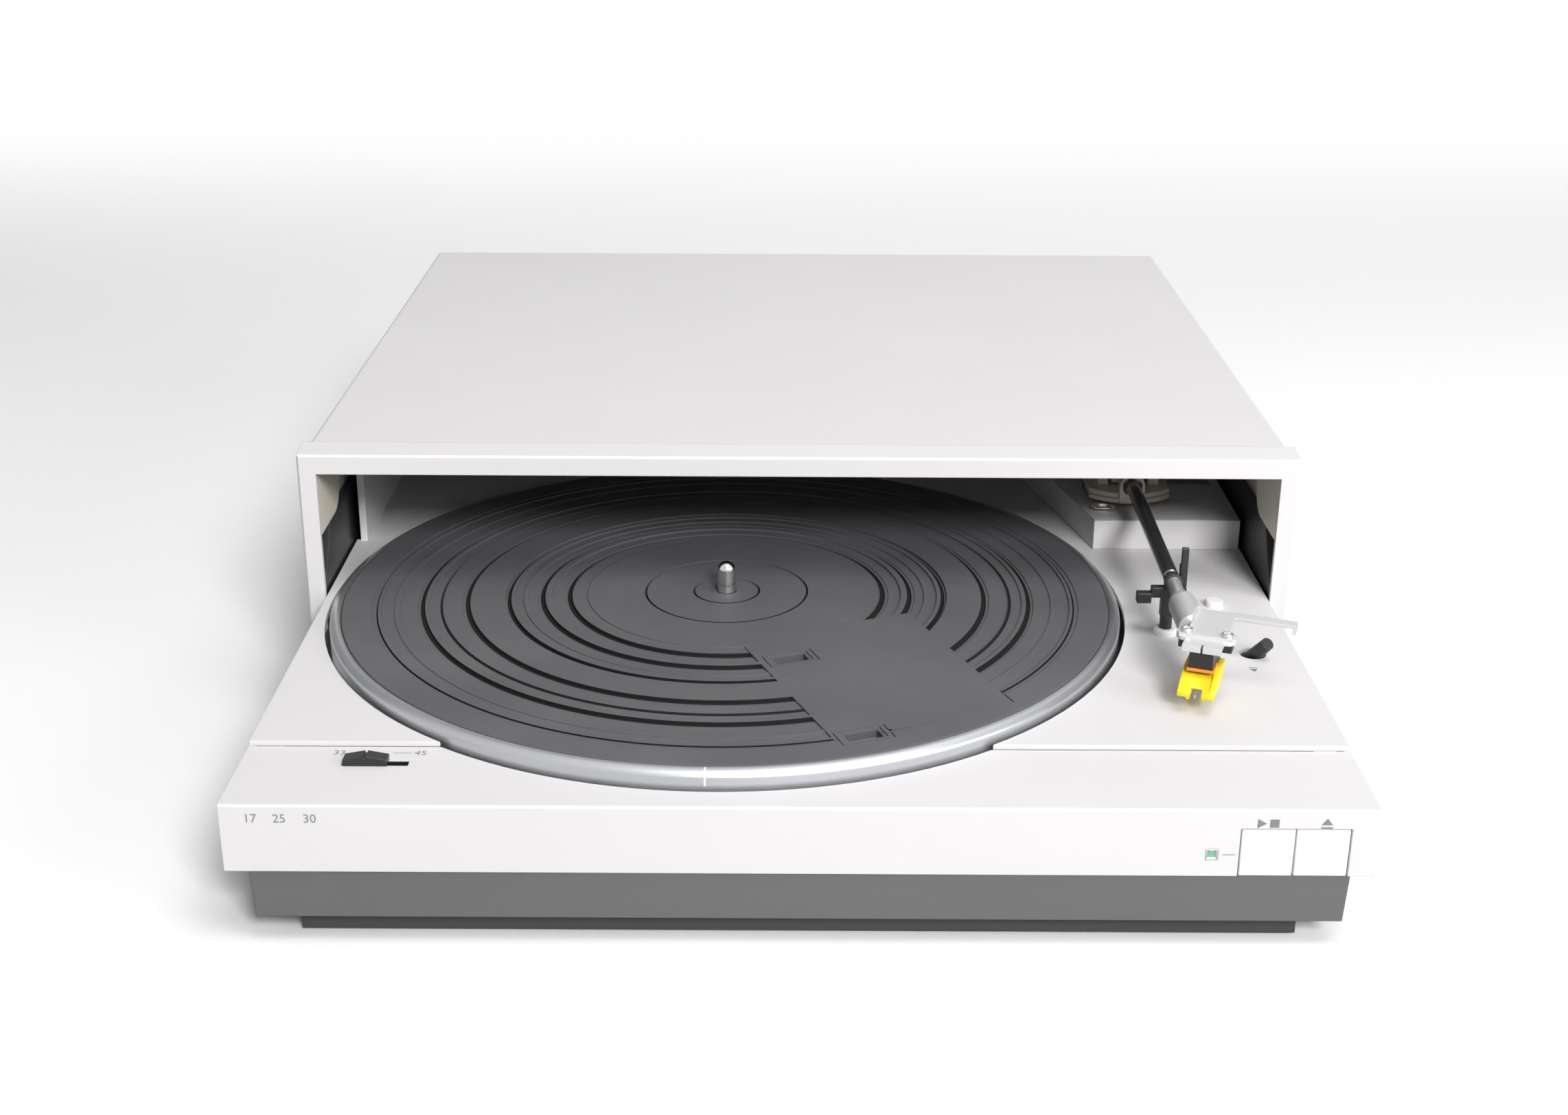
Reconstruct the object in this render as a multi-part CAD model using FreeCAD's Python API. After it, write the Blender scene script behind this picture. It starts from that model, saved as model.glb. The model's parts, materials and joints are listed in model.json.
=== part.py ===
import FreeCAD, Part
import math
import os

# A turntable whose deck slides out of a flat housing on a drawer.
# Millimetres. X runs to the right, Y from the front to the back, Z up from the table.
# Lengths along Y are written from the drawer's front face, with the drawer pulled out.
# save() moves every piece so that the origin is at the middle of the base.

Vector = FreeCAD.Vector
ACROSS = Vector(1, 0, 0)
BACK = Vector(0, 1, 0)
UP = Vector(0, 0, 1)

# General fits
running_gap = 0.05          # radial, a shaft in its bearing
slide_gap = 0.3             # between faces that slide past each other
seat_gap = 0.1              # between pieces that are screwed or dropped in place

# Feet and base
foot_height = 7.6
foot_radius = 8.0
foot_inset = 13.0
base_sheet = 1.2
drawer_lift = 0.8           # the drawer's floor above the base plate
skirt_thickness = 7.2
skirt_wall = 2.4

# Front frame
opening_height = 76.5
leg_width = 7.2
bar_height = 7.8
frame_depth = 13.5
frame_wall = 2.2
frame_rise = 1.0            # the top bar climbs this much to the back
frame_bevel = 0.8

# Cover and rear
housing_depth = 336.4
cover_inset = 2.3
cover_drop = 0.3
cover_sheet = 1.2
cover_bend = 2.0
cover_flange = 11.0
rear_recess = 7.5
rear_sheet = 1.5
rear_lip_height = 30.0
rear_flange = 6.0
vent_count = 14
vent_length = 26.0
vent_width = 2.2
vent_pitch = 7.0
inlet_width = 22.0
inlet_height = 12.0
inlet_depth = 5.5
inlet_floor = 1.0
inlet_lip = 3.0
inlet_lip_thickness = 1.6
inlet_pin_at = 4.3
inlet_well_radius = 4.1
inlet_pin_radius = 1.2
inlet_x = -150.0
inlet_z = 52.0
socket_x = 120.0
socket_z = 52.0
socket_pitch = 16.0
socket_radius = 4.15
socket_length = 6.0
socket_bore_radius = 1.7
nut_radius = 5.95
nut_thickness = 1.5
earth_stem_radius = 2.0
cover_screw_radius = 3.2
cover_screw_head = 1.6

# Drawer
drawer_travel = 170.3
panel_stand_out = 0.5       # the closed drawer's face in front of the frame's face
drawer_back_room = 19.0     # the drawer is this much deeper than the platter is wide
panel_gap = 0.5             # beside the panel inside the opening
panel_height = 24.4
panel_depth = 41.7
panel_wall = 2.2
panel_top_wall = 2.0
panel_edge_bevel = 0.7
deck_gap = 0.3              # seam between panel and deck
deck_step = 1.7             # the deck stands this much above the panel
deck_sheet = 2.0
deck_margin = 0.3           # the deck's side inside the panel's side
deck_flange_depth = 6.0
plinth_height = 17.4
plinth_recess = 1.0
plinth_wall = 3.0
plinth_side_recess = 7.8
plinth_taper = 1.0
tray_front = 12.0
tray_wall = 2.5
tray_side_gap = 1.2         # tray to skirt
tray_height = 33.4
post_radius = 3.5
post_shoulder = 5.5
post_inset = 14.0
front_post_y = 24.0
middle_post_room = 126.0    # ahead of the drawer's back
back_post_room = 20.0
back_post_x = 84.0
skid_half_width = 165.0
skid_front = 8.0
skid_depth = 32.0
skid_clear = 1.0
skid_wall = 3.0
mechanism_level = 34.0
mechanism_sheet = 1.5
mechanism_margin = 0.6

# Tracks and runners
track_wall = 3.5
track_height = 48.8
track_front_height = 28.7
track_bevel_run = 16.2
ledge_width = 7.2
ledge_height = 5.0
runner_height = 6.8
runner_length = 186.0
runner_clear = 0.4
ledge_set_back = 1.0        # behind the closed front panel
rail_height = 3.0
rail_width = 3.0

# Dust flap, parked under the ceiling
flap_thickness = 2.5
flap_height = 51.0
flap_side_gap = 4.0
flap_level = 107.0
flap_set_back = 15.5
bracket_thickness = 3.0
bracket_length = 37.0
bracket_height = 29.0
bracket_round = 11.0
flap_pin_radius = 1.5
flap_ear = 7.0

# Drawer's left wall
side_wall_front = 230.0
side_wall_thickness = 2.9
side_wall_height = 35.0
side_wall_inset = 1.9

# Platter
platter_radius = 153.5
platter_left_room = 5.1     # from the deck's left edge
platter_front_room = 12.7   # from the drawer's face
opening_room = 34.0         # half the opening, less the platter's radius
platter_gap = 2.0
rim_level = 4.2             # rim above the deck
rim_width = 4.4
rim_bevel = 2.6
rim_bevel_drop = 1.6
platter_skirt = 12.3
platter_wall = 3.0
platter_web = 3.0
mat_radius = 149.1
mat_thickness = 3.4
mat_recess = 3.1            # the mat's seat below the rim
mat_edge_bevel = 0.8
groove_depth = 0.9
# Inner and outer edges of the mat's grooves, as shares of its radius
groove_bands = [(0.083, 0.088), (0.21, 0.215), (0.39, 0.394), (0.406, 0.426), (0.451, 0.455),
                (0.476, 0.496), (0.524, 0.528), (0.565, 0.58), (0.671, 0.691), (0.743, 0.748),
                (0.787, 0.805), (0.86, 0.864), (0.907, 0.922)]
spindle_radius = 3.55
spindle_height = 12.4       # above the mat
hub_radius = 13.0
hub_depth = 7.0
window_angle = -68.5
window_shares = (0.46, 0.909)   # of the mat's radius
window_length = 13.0
window_width = 6.0
flat_shares = (0.368, -0.508)
flat_width = 70.0
flat_length = 88.0
flat_angle = -67.5
bearing_radius = 8.0
bearing_flange_radius = 18.0
bearing_flange = 2.5
bearing_floor = 3.0
bearing_bottom = 15.0
stator_radius = 60.0
stator_board_thickness = 1.6
coil_count = 6
coil_ring_radius = 38.0
coil_outer = 12.0
coil_inner = 5.0
coil_height = 5.2
magnet_outer = 52.0
magnet_inner = 24.0
magnet_height = 5.9
sensor_length = 14.0
sensor_width = 8.0
sensor_height = 8.0

# Front controls
button_size = 17.4
button_height = 17.0
button_gap = 0.35
button_depth = 7.0
button_travel = 1.5
button_bevel = 0.4
button_stem_half = 2.0
button_stem_length = 1.2
control_board_thickness = 1.6
button_right_margin = 9.2
lamp_right_margin = 53.85
lamp_size = 4.0
lamp_z = 34.9
lamp_depth = 7.0
lamp_foot_radius = 1.2
lamp_frame = 0.6
slider_inset = 34.4         # from the panel's left side
slider_slot_length = 22.0
slider_slot_y = 29.4
slider_slot_width = 3.0
slider_knob_length = 14.8
slider_knob_width = 5.0
slider_knob_height = 3.6
slider_stem_width = 2.2
slider_peak = 1.4

# Controls on the deck
cue_inset = 18.4            # from the deck's right edge
cue_ahead = 46.4            # of the platter's centre
cue_radius = 2.4
cue_root_growth = 0.5       # the lever is this much thicker at its root
cue_length = 14.5
cue_lean_right = 24.0
cue_lean_front = 36.0
cue_ball_radius = 3.4
cue_hole_radius = 5.0
cue_hole_shift = (1.2, -1.7)
cue_hinge_drop = 1.6        # below the underside of the deck
cue_pin_radius = 1.2
cue_pin_half = 8.8
cue_tab = 1.2
cue_tab_half_depth = 3.0
cue_tab_height = 4.5
cue_foot = 11.0
cue_foot_radius = 1.4
cue_bar_level = 42.0
cue_bar_width = 3.0
cue_bar_thickness = 2.0
cue_eye_half_width = 4.0
cue_eye_wall = 2.0
cue_slot_half = 2.75
cue_ramp_length = 16.0
cue_ramp_rise = 1.52
peg_inset = 22.8            # from the deck's right edge
peg_ahead = 2.4             # of the platter's centre
peg_radius = 3.4
peg_height = 2.6
peg_bevel = 0.4

# Tonearm base
base_behind = 58.0          # its front, behind the platter's centre
base_left_inset = 62.2
base_left_lean = -0.24      # run in X for each millimetre in Y
base_right_inset = 1.0
base_height = 13.2
base_wall = 2.2
height_screw_inset = 57.1
height_screw_behind = 71.3
height_screw_radius = 5.2
height_screw_rim = 1.2
height_screw_rise = 0.9

# Tonearm, lengths from the pivot forwards
pivot_inset = 44.1          # from the deck's right edge
pivot_behind = 97.8         # behind the platter's centre
arm_level = 22.3            # the tube's axis above the deck
arm_turn = -0.7             # the parked tube's direction, in degrees from straight ahead
tube_radius = 3.0
tube_start = 10.0
tube_ring_at = 121.6
tube_ring_length = 3.0
tube_ring_radius = 3.9
tube_neck_radius = 2.6
collar_at = 142.5
collar_length = 31.0
collar_radius = 5.3
collar_round = 2.4
block_width = 14.0
block_back = 9.0
block_below = 3.0
block_above = 5.0
block_clear = 0.7
pivot_pin_radius = 1.5
pivot_pin_length = 5.0
cheek_gap = 1.5
cheek_thickness = 4.5
cheek_length = 22.0
cheek_height = 9.0          # above the tube's axis
yoke_radius = 24.0
yoke_half_width = 17.2
yoke_tier = 2.0
yoke_tier_inset = 1.4
yoke_clear = 1.4            # above the tonearm base
ring_at = 21.5
ring_length = 5.0
ring_outer = 5.3
ring_inner = 4.2
arm_shaft_radius = 4.0
arm_sleeve_radius = 7.0
weight_radius = 10.5
weight_length = 22.0
weight_gap = 10.0
weight_stub_radius = 2.5
weight_pocket = (14.6, 38.9, 6.0)   # the opening it swings in, left, right and behind the pivot
lift_pin_radius = 1.5
lift_pin_at = 15.0
lift_ring_outer = 17.2
lift_ring_height = 5.0
lift_ring_drop = 0.4         # the ring's top below the top of the tonearm base
lift_leg_width = 3.0
lift_leg_depth = 4.0

# Headshell, lengths from the line of the two mounting screws
head_turn = -20.8
head_inset = 43.4
head_ahead = 86.3
head_top = 2.6              # above the tube's axis
shell_back = 21.4
shell_front = 9.9
shell_half_width = 6.9
shell_thickness = 2.4
shell_step = 1.2
shell_lip = 2.4
shell_notch = 0.8
screw_spacing = 14.3
ear_radius = 3.4
shell_screw_radius = 2.1
shell_shank_radius = 1.3
shell_shank = 6.5
shell_screw_head = 1.2
finger_length = 21.6
finger_width = 4.6
finger_thickness = 1.2
finger_tip_drop = 2.2
finger_set_back = 3.6
cartridge_half_width = 4.2
cartridge_flange_half = 9.4
cartridge_flange = 3.0
cartridge_flange_depth = 5.2
cartridge_front = 8.6
cartridge_back = 9.0
cartridge_drop = 8.7
cartridge_plug_drop = 11.0
cartridge_plug_front = 2.5
holder_half_width = 6.4
holder_top_drop = 11.2      # below the top of the headshell
holder_drop = 18.3
holder_top_at = 5.5
holder_front = 15.7
holder_back = 6.0
holder_nose = 1.6
holder_notch_half = 2.0
holder_notch_depth = 2.6
stylus_radius = 0.4
stylus_start = (9.0, 15.5)   # ahead of the screw line, and below the top of the headshell
stylus_tip = (16.4, 18.1)

# Armrest
rest_inset = 46.8
rest_ahead = 29.7
rest_ring_radius = 4.4
rest_ring_height = 2.6
rest_post_radius = 2.35
rest_clamp_level = 7.6
rest_half_depth = 1.9
rest_stem = (2.6, 3.2)      # left and right of the post's centre
rest_shelf_left = 6.4
rest_shelf_right = 6.6
rest_shelf_thickness = 4.0
rest_tab_left = 11.8
rest_tab_drop = 2.3
clip_at = 5.2               # right of the post's centre
clip_thickness = 2.6
clip_width = 2.5
clip_height = 35.4
clip_pin_radius = 1.0
clip_pin_level = 26.6

# Loading drive
tooth_module = 1.5
pinion_teeth = 14
tooth_height_share = 0.8
tooth_play = 0.3
rack_height = 5.0
rack_web = 3.0
rack_gap = 0.6              # above the runner
loading_room = 20.0         # ahead of the drawer's back
pinion_thickness = 3.6
pulley_radius = 10.8
pulley_thickness = 3.4
belt_depth = 1.2
belt_thickness = 1.2
belt_width = 1.6
gear_shaft_radius = 1.5
motor_shaft_radius = 1.0
stud_collar_radius = 3.0
motor_hole_radius = 3.0
motor_pulley_radius = 3.7
motor_offset = 38.0
motor_shaft_depth = 4.0     # of the bore that takes the shaft
loading_motor_radius = 13.0
loading_motor_height = 18.0

# Tonearm drive
arm_module = 1.0
arm_wheel_teeth = 42
arm_pinion_teeth = 14
arm_gear_thickness = 4.0
arm_gear_level = 40.0
arm_drive_angle = 200.0
arm_motor_radius = 9.0
arm_motor_height = 16.0

# Electrics in the tray
board_width = 170.0
board_depth = 105.0
board_inset = 19.0
board_front = 40.0
board_thickness = 1.6
board_lift = 2.5
chip_length = 18.0
chip_width = 7.0
chip_height = 3.0
capacitor_radius = 4.0
capacitor_height = 11.0
relay_length = 12.0
relay_width = 14.0
relay_height = 6.0
transformer_width = 48.0
transformer_depth = 40.0
transformer_height = 19.0
transformer_inset = 44.0    # from the tray's side
transformer_y = 70.0
winding_inset = 9.0         # inside the core's sides
winding_reach = 5.0         # beyond the core's front and back
winding_recess = 3.0        # inside the core's top and bottom
board_peg_radius = 3.0
board_peg_inset = 6.0

# Levels worked out from the sizes above
plate_top = foot_height + base_sheet
plinth_bottom = plate_top + drawer_lift
panel_bottom = plinth_bottom + plinth_height
panel_top = panel_bottom + panel_height
deck_top = panel_top + deck_step
deck_under = deck_top - deck_sheet
opening_top = panel_bottom + opening_height
frame_top = opening_top + bar_height
frame_back_top = frame_top + frame_rise
cover_top = frame_back_top - cover_drop
cover_under = cover_top - cover_sheet
tray_floor = plinth_bottom + tray_wall
tray_top = plinth_bottom + tray_height
mechanism_top = mechanism_level + mechanism_sheet
arm_axis = deck_top + arm_level
base_top = deck_top + base_height

# Widths and depths worked out from the sizes above
half_opening = platter_radius + opening_room
half_frame = half_opening + leg_width
half_cover = half_frame - cover_inset
half_panel = half_opening - panel_gap
half_deck = half_panel - deck_margin
skirt_outside = half_opening - seat_gap
skirt_inside = skirt_outside - skirt_thickness
half_tray = skirt_inside - tray_side_gap
half_plinth = half_panel - plinth_side_recess
frame_front = drawer_travel + panel_stand_out
frame_back = frame_front + frame_depth
overall_depth = frame_front + housing_depth
rear_face = overall_depth - rear_recess
rear_inner = rear_face - rear_sheet
deck_front = panel_depth + deck_gap
drawer_depth = 2 * platter_radius + drawer_back_room
spindle_x = platter_radius + platter_left_room - half_deck
spindle_y = platter_radius + platter_front_room
middle_post_y = drawer_depth - middle_post_room
back_post_y = drawer_depth - back_post_room
loading_y = drawer_depth - loading_room
pivot_x = half_deck - pivot_inset
pivot_y = spindle_y + pivot_behind
head_x = half_deck - head_inset
head_y = spindle_y - head_ahead
rest_x = half_deck - rest_inset
rest_y = spindle_y - rest_ahead
cue_x = half_deck - cue_inset
cue_y = spindle_y - cue_ahead
peg_x = half_deck - peg_inset
peg_y = spindle_y - peg_ahead
height_screw_x = half_deck - height_screw_inset
height_screw_y = spindle_y + height_screw_behind
base_front = spindle_y + base_behind
base_left_front = half_deck - base_left_inset
base_right = half_deck - base_right_inset
lamp_x = half_panel - lamp_right_margin
board_left = board_inset - half_tray
transformer_x = half_tray - transformer_inset
window_radii = [share * mat_radius for share in window_shares]
flat_centre = [share * mat_radius for share in flat_shares]
cut_radius = platter_radius + platter_gap
mat_seat = deck_top + rim_level - mat_recess
mat_top = mat_seat + mat_thickness
track_inside = half_opening + seat_gap
track_bottom = panel_bottom + cover_sheet + seat_gap
ledge_front = frame_front + panel_depth + ledge_set_back
ledge_back = rear_inner - base_sheet - seat_gap
ledge_top = track_bottom + ledge_height
runner_bottom = ledge_top + slide_gap
runner_top = runner_bottom + runner_height
rack_bottom = runner_top + rack_gap
pitch_radius = tooth_module * pinion_teeth / 2
rack_pitch_x = track_inside - rack_web - tooth_module * (tooth_height_share + 0.2)
loading_x = rack_pitch_x - pitch_radius
pinion_bottom = rack_bottom + (rack_height - pinion_thickness) / 2
pulley_bottom = rack_bottom + rack_height + slide_gap
motor_x = loading_x - motor_offset


# Shape helpers
def box(x0, x1, y0, y1, z0, z1):
    """A block between two corners."""
    return Part.makeBox(x1 - x0, y1 - y0, z1 - z0, Vector(x0, y0, z0))


def upright(x, y, z0, z1, radius):
    """A vertical cylinder."""
    return Part.makeCylinder(radius, z1 - z0, Vector(x, y, z0))


def lying(start, direction, length, radius):
    """A cylinder from a point along a direction."""
    return Part.makeCylinder(radius, length, start, direction)


def tube(x, y, z0, z1, outer, inner):
    """A vertical ring."""
    return upright(x, y, z0, z1, outer).cut(upright(x, y, z0, z1, inner))


def outline(points, direction):
    """A closed outline of straight sides, given a thickness along a direction."""
    corners = [Vector(*point) for point in points]
    return Part.Face(Part.makePolygon(corners + corners[:1])).extrude(direction)


def side_outline(points, x0, x1):
    """An outline of (y, z) points, thick from x0 to x1."""
    return outline([(x0, y, z) for y, z in points], Vector(x1 - x0, 0, 0))


def turned(profile, x, y):
    """A solid of revolution about the vertical through x, y, from (radius, z) points."""
    points = [Vector(x + r, y, z) for r, z in profile]
    face = Part.Face(Part.makePolygon(points + points[:1]))
    return face.revolve(Vector(x, y, 0), UP, 360)


def group(*solids):
    """Separate solids kept as one node."""
    return Part.makeCompound(list(solids))


def mirrored(shape):
    """The same shape on the other side of the middle."""
    return shape.mirror(Vector(0, 0, 0), ACROSS)


def from_pivot(shape, turn=arm_turn):
    """A shape drawn with the arm straight ahead of the origin, set on the pivot."""
    moved = shape.copy()
    moved.rotate(Vector(0, 0, 0), UP, turn)
    moved.translate(Vector(pivot_x, pivot_y, 0))
    return moved


def on_head(shape):
    """A shape drawn about the screw line, straight ahead, set on the headshell's place."""
    moved = shape.copy()
    moved.rotate(Vector(0, 0, 0), UP, head_turn)
    moved.translate(Vector(head_x, head_y, 0))
    return moved


def gear(teeth, module, z0, z1, play, turn):
    """A spur gear about the origin whose first tooth points along turn degrees."""
    pitch = module * teeth / 2
    base = pitch * math.cos(math.radians(20))
    tip = pitch + module * tooth_height_share
    root = pitch - module
    half_at_pitch = (math.pi * module / 2 - play) / (2 * pitch)
    roll_at_pitch = math.tan(math.radians(20)) - math.radians(20)

    def half_angle(radius):
        if radius <= base:
            return half_at_pitch + roll_at_pitch
        pressure = math.acos(base / radius)
        return half_at_pitch + roll_at_pitch - (math.tan(pressure) - pressure)

    steps = [root] + [max(base, root) + (tip - max(base, root)) * i / 3 for i in range(4)]
    points = []
    for tooth in range(teeth):
        middle = math.radians(turn) + 2 * math.pi * tooth / teeth
        flank = [(middle - half_angle(r), r) for r in steps]
        flank += [(middle + half_angle(r), r) for r in reversed(steps)]
        points += [(r * math.cos(a), r * math.sin(a), z0) for a, r in flank]
    return outline(points, Vector(0, 0, z1 - z0))


def rack(x_pitch, x_back, y0, length, phase_y, z0, z1):
    """A straight rack whose teeth point to the left, with a gap centred on phase_y."""
    pitch = math.pi * tooth_module
    tip = x_pitch - tooth_module * tooth_height_share
    root = x_pitch + tooth_module
    lean = math.tan(math.radians(20))
    half = (pitch / 2 - tooth_play) / 2
    half_tip = half - (x_pitch - tip) * lean
    half_root = half + (root - x_pitch) * lean
    first = math.ceil((y0 + half_root - phase_y) / pitch - 0.5)
    last = math.floor((y0 + length - half_root - phase_y) / pitch - 0.5)
    points = [(x_back, y0, z0), (root, y0, z0)]
    for step in range(first, last + 1):
        y = phase_y + (step + 0.5) * pitch
        points += [(root, y - half_root, z0), (tip, y - half_tip, z0)]
        points += [(tip, y + half_tip, z0), (root, y + half_root, z0)]
    points += [(root, y0 + length, z0), (x_back, y0 + length, z0)]
    return outline(points, Vector(0, 0, z1 - z0))


def fillet_along(shape, radius, wanted):
    """Round the edges that the test picks."""
    return shape.makeFillet(radius, [edge for edge in shape.Edges if wanted(edge)])


def chamfer_along(shape, size, wanted):
    """Bevel the edges that the test picks."""
    return shape.makeChamfer(size, [edge for edge in shape.Edges if wanted(edge)])


def runs_at(edge, y=None, z=None, x=None):
    """Whether a straight edge lies wholly at the given coordinates."""
    box_of = edge.BoundBox
    near = 1e-4
    fits = True
    if x is not None:
        fits = fits and abs(box_of.XMin - x) < near and abs(box_of.XMax - x) < near
    if y is not None:
        fits = fits and abs(box_of.YMin - y) < near and abs(box_of.YMax - y) < near
    if z is not None:
        fits = fits and abs(box_of.ZMin - z) < near and abs(box_of.ZMax - z) < near
    return fits


# Housing pieces
def make_front_frame():
    face = box(-half_frame, half_frame, frame_front, frame_front + frame_wall, panel_bottom, frame_top)
    face = face.cut(box(-half_opening, half_opening, frame_front - 1, frame_back,
                        panel_bottom - 1, opening_top))
    bar = side_outline([(frame_front, frame_top - frame_wall), (frame_back, frame_top - frame_wall),
                        (frame_back, frame_back_top), (frame_front, frame_top)],
                       -half_frame, half_frame)
    side = box(half_frame - frame_wall, half_frame, frame_front, frame_back, panel_bottom, frame_top)
    frame = face.fuse([bar, side, mirrored(side)]).removeSplitter()
    return chamfer_along(frame, frame_bevel,
                         lambda e: runs_at(e, y=frame_front, z=frame_top)
                         or runs_at(e, y=frame_front, x=half_frame)
                         or runs_at(e, y=frame_front, x=-half_frame))


def make_top_cover():
    outer = box(-half_cover, half_cover, frame_back, overall_depth, panel_bottom, cover_top)
    outer = fillet_along(outer, cover_bend, lambda e: runs_at(e, z=cover_top, x=half_cover)
                         or runs_at(e, z=cover_top, x=-half_cover))
    inner = box(-half_cover + cover_sheet, half_cover - cover_sheet, frame_back - 1, overall_depth + 1,
                panel_bottom + cover_sheet, cover_under)
    slot = box(-half_cover + cover_flange, half_cover - cover_flange, frame_back - 1, overall_depth + 1,
               panel_bottom - 1, panel_bottom + 2 * cover_sheet)
    path = box(-track_inside, track_inside, frame_back - 1, ledge_front,
               panel_bottom - 1, panel_bottom + 2 * cover_sheet)
    return outer.cut([inner, slot, path])


def make_bottom_plate():
    front = frame_front + frame_wall + seat_gap
    plate = box(-skirt_outside, skirt_outside, front, overall_depth - frame_wall, foot_height, plate_top)
    notch = box(-skid_half_width - 2, skid_half_width + 2, front - 1,
                frame_front + skid_front + skid_depth + 15, foot_height - 1, plate_top + 1)
    lip = box(-skirt_inside, skirt_inside, rear_inner - base_sheet, rear_inner,
              plate_top, plate_top + rear_lip_height)
    return plate.cut(notch).fuse(lip)


def make_rear_panel():
    half = half_cover - cover_sheet - seat_gap
    bottom = panel_bottom + cover_sheet + seat_gap
    top = cover_under - seat_gap
    panel = box(-half, half, rear_inner, rear_face, bottom, top)
    flange = box(half - rear_sheet, half, rear_face, rear_face + rear_flange, bottom, top)
    top_flange = box(-half, half, rear_face, rear_face + rear_flange, top - rear_sheet, top)
    holes = [box(inlet_x - inlet_width / 2, inlet_x + inlet_width / 2, rear_inner - 1, rear_face + 1,
                 inlet_z - inlet_height / 2, inlet_z + inlet_height / 2)]
    for place in (-1, 0, 1):
        holes.append(lying(Vector(socket_x + place * socket_pitch, rear_inner - 1, socket_z), BACK,
                           rear_sheet + 2, socket_radius + seat_gap))
    for row in range(vent_count):
        x = (row - (vent_count - 1) / 2) * vent_pitch
        holes.append(box(x - vent_width / 2, x + vent_width / 2, rear_inner - 1, rear_face + 1,
                         socket_z + 8, socket_z + 8 + vent_length))
    return panel.fuse([flange, mirrored(flange), top_flange]).cut(holes)


def make_side_skirt():
    front = frame_front + frame_wall + seat_gap
    back = overall_depth - frame_wall
    top = panel_bottom - slide_gap
    outer = box(skirt_inside, skirt_outside, front, back, plate_top, top)
    hollow = box(skirt_inside - 1, skirt_outside - skirt_wall, front + skirt_wall, back - skirt_wall,
                 plate_top + skirt_wall, top - skirt_wall)
    return outer.cut(hollow)


def make_slide_track():
    front = frame_front + frame_wall + seat_gap
    back = ledge_back
    top = track_bottom + track_height
    corner = track_bottom + track_front_height
    wall = side_outline([(front, track_bottom), (back, track_bottom), (back, top),
                         (front + track_bevel_run, top), (front + track_bevel_run / 2, corner + 9),
                         (front, corner)],
                        track_inside, track_inside + track_wall)
    ledge = box(track_inside - ledge_width, track_inside, ledge_front, back, track_bottom, ledge_top)
    return wall.fuse(ledge).removeSplitter()


def make_left_track():
    """The left track also carries the rail that keeps the runner down, as the rack does on the right."""
    rail = box(-track_inside, -track_inside + rail_width, ledge_front, ledge_back,
               rack_bottom, rack_bottom + rail_height)
    return mirrored(make_slide_track()).fuse(rail)


def make_drawer_rack():
    return rack(rack_pitch_x, track_inside, ledge_front, ledge_back - ledge_front, loading_y,
                rack_bottom, rack_bottom + rack_height)


def make_flap_bracket():
    front = frame_front + frame_wall + seat_gap
    bottom = track_bottom + track_height + seat_gap
    top = bottom + bracket_height
    plate = box(track_inside, track_inside + bracket_thickness, front, front + bracket_length, bottom, top)
    plate = fillet_along(plate, bracket_round,
                         lambda e: runs_at(e, y=front + bracket_length, z=bottom))
    pin_hole = lying(Vector(track_inside - 1, flap_pin_y, flap_pin_z), ACROSS,
                     bracket_thickness + 2, flap_pin_radius + running_gap)
    return plate.cut(pin_hole)


flap_half = half_opening - flap_side_gap
flap_front = frame_front + flap_set_back
flap_pin_y = flap_front + flap_ear / 2
flap_pin_z = flap_level - flap_ear / 2


def make_dust_flap():
    sheet = box(-flap_half, flap_half, flap_front, flap_front + flap_height,
                flap_level, flap_level + flap_thickness)
    ear = box(flap_half - flap_thickness, flap_half, flap_front, flap_front + flap_ear,
              flap_level - flap_ear, flap_level)
    pin = lying(Vector(flap_half - 1, flap_pin_y, flap_pin_z), ACROSS,
                track_inside + bracket_thickness - flap_half + 1, flap_pin_radius)
    return sheet.fuse([ear, mirrored(ear), pin, mirrored(pin)])


def make_housing_feet():
    places = [(skirt_outside - foot_inset + 1.5, frame_front + frame_wall + foot_inset),
              (skirt_outside - foot_inset, overall_depth - frame_wall - foot_inset)]
    feet = []
    for x, y in places:
        for side in (-1, 1):
            foot = Part.makeCone(foot_radius - 1.2, foot_radius, foot_height, Vector(side * x, y, 0))
            feet.append(foot)
    return group(*feet)


def make_cover_screws():
    screws = []
    for side in (-1, 1):
        for z in (panel_bottom + 12, cover_top - 14):
            head = lying(Vector(side * half_cover, overall_depth - rear_flange + 1, z), ACROSS * side,
                         cover_screw_head, cover_screw_radius)
            screws.append(head)
    return group(*screws)


def make_mains_inlet():
    front = rear_inner + inlet_floor
    back = rear_face + inlet_depth
    half_width = inlet_width / 2 - seat_gap
    half_height = inlet_height / 2 - seat_gap
    body = box(inlet_x - half_width, inlet_x + half_width, rear_inner, back,
               inlet_z - half_height, inlet_z + half_height)
    lip = box(inlet_x - half_width - inlet_lip, inlet_x + half_width + inlet_lip,
              rear_face, rear_face + inlet_lip_thickness,
              inlet_z - half_height - inlet_lip, inlet_z + half_height + inlet_lip)
    recess = []
    pins = []
    for place in (-1, 1):
        x = inlet_x + place * inlet_pin_at
        recess.append(lying(Vector(x, front, inlet_z), BACK, back - front + 1, inlet_well_radius))
        pins.append(lying(Vector(x, front - inlet_floor / 2, inlet_z), BACK, back - front,
                          inlet_pin_radius))
    return body.fuse(lip).cut(recess).fuse(pins)


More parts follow.
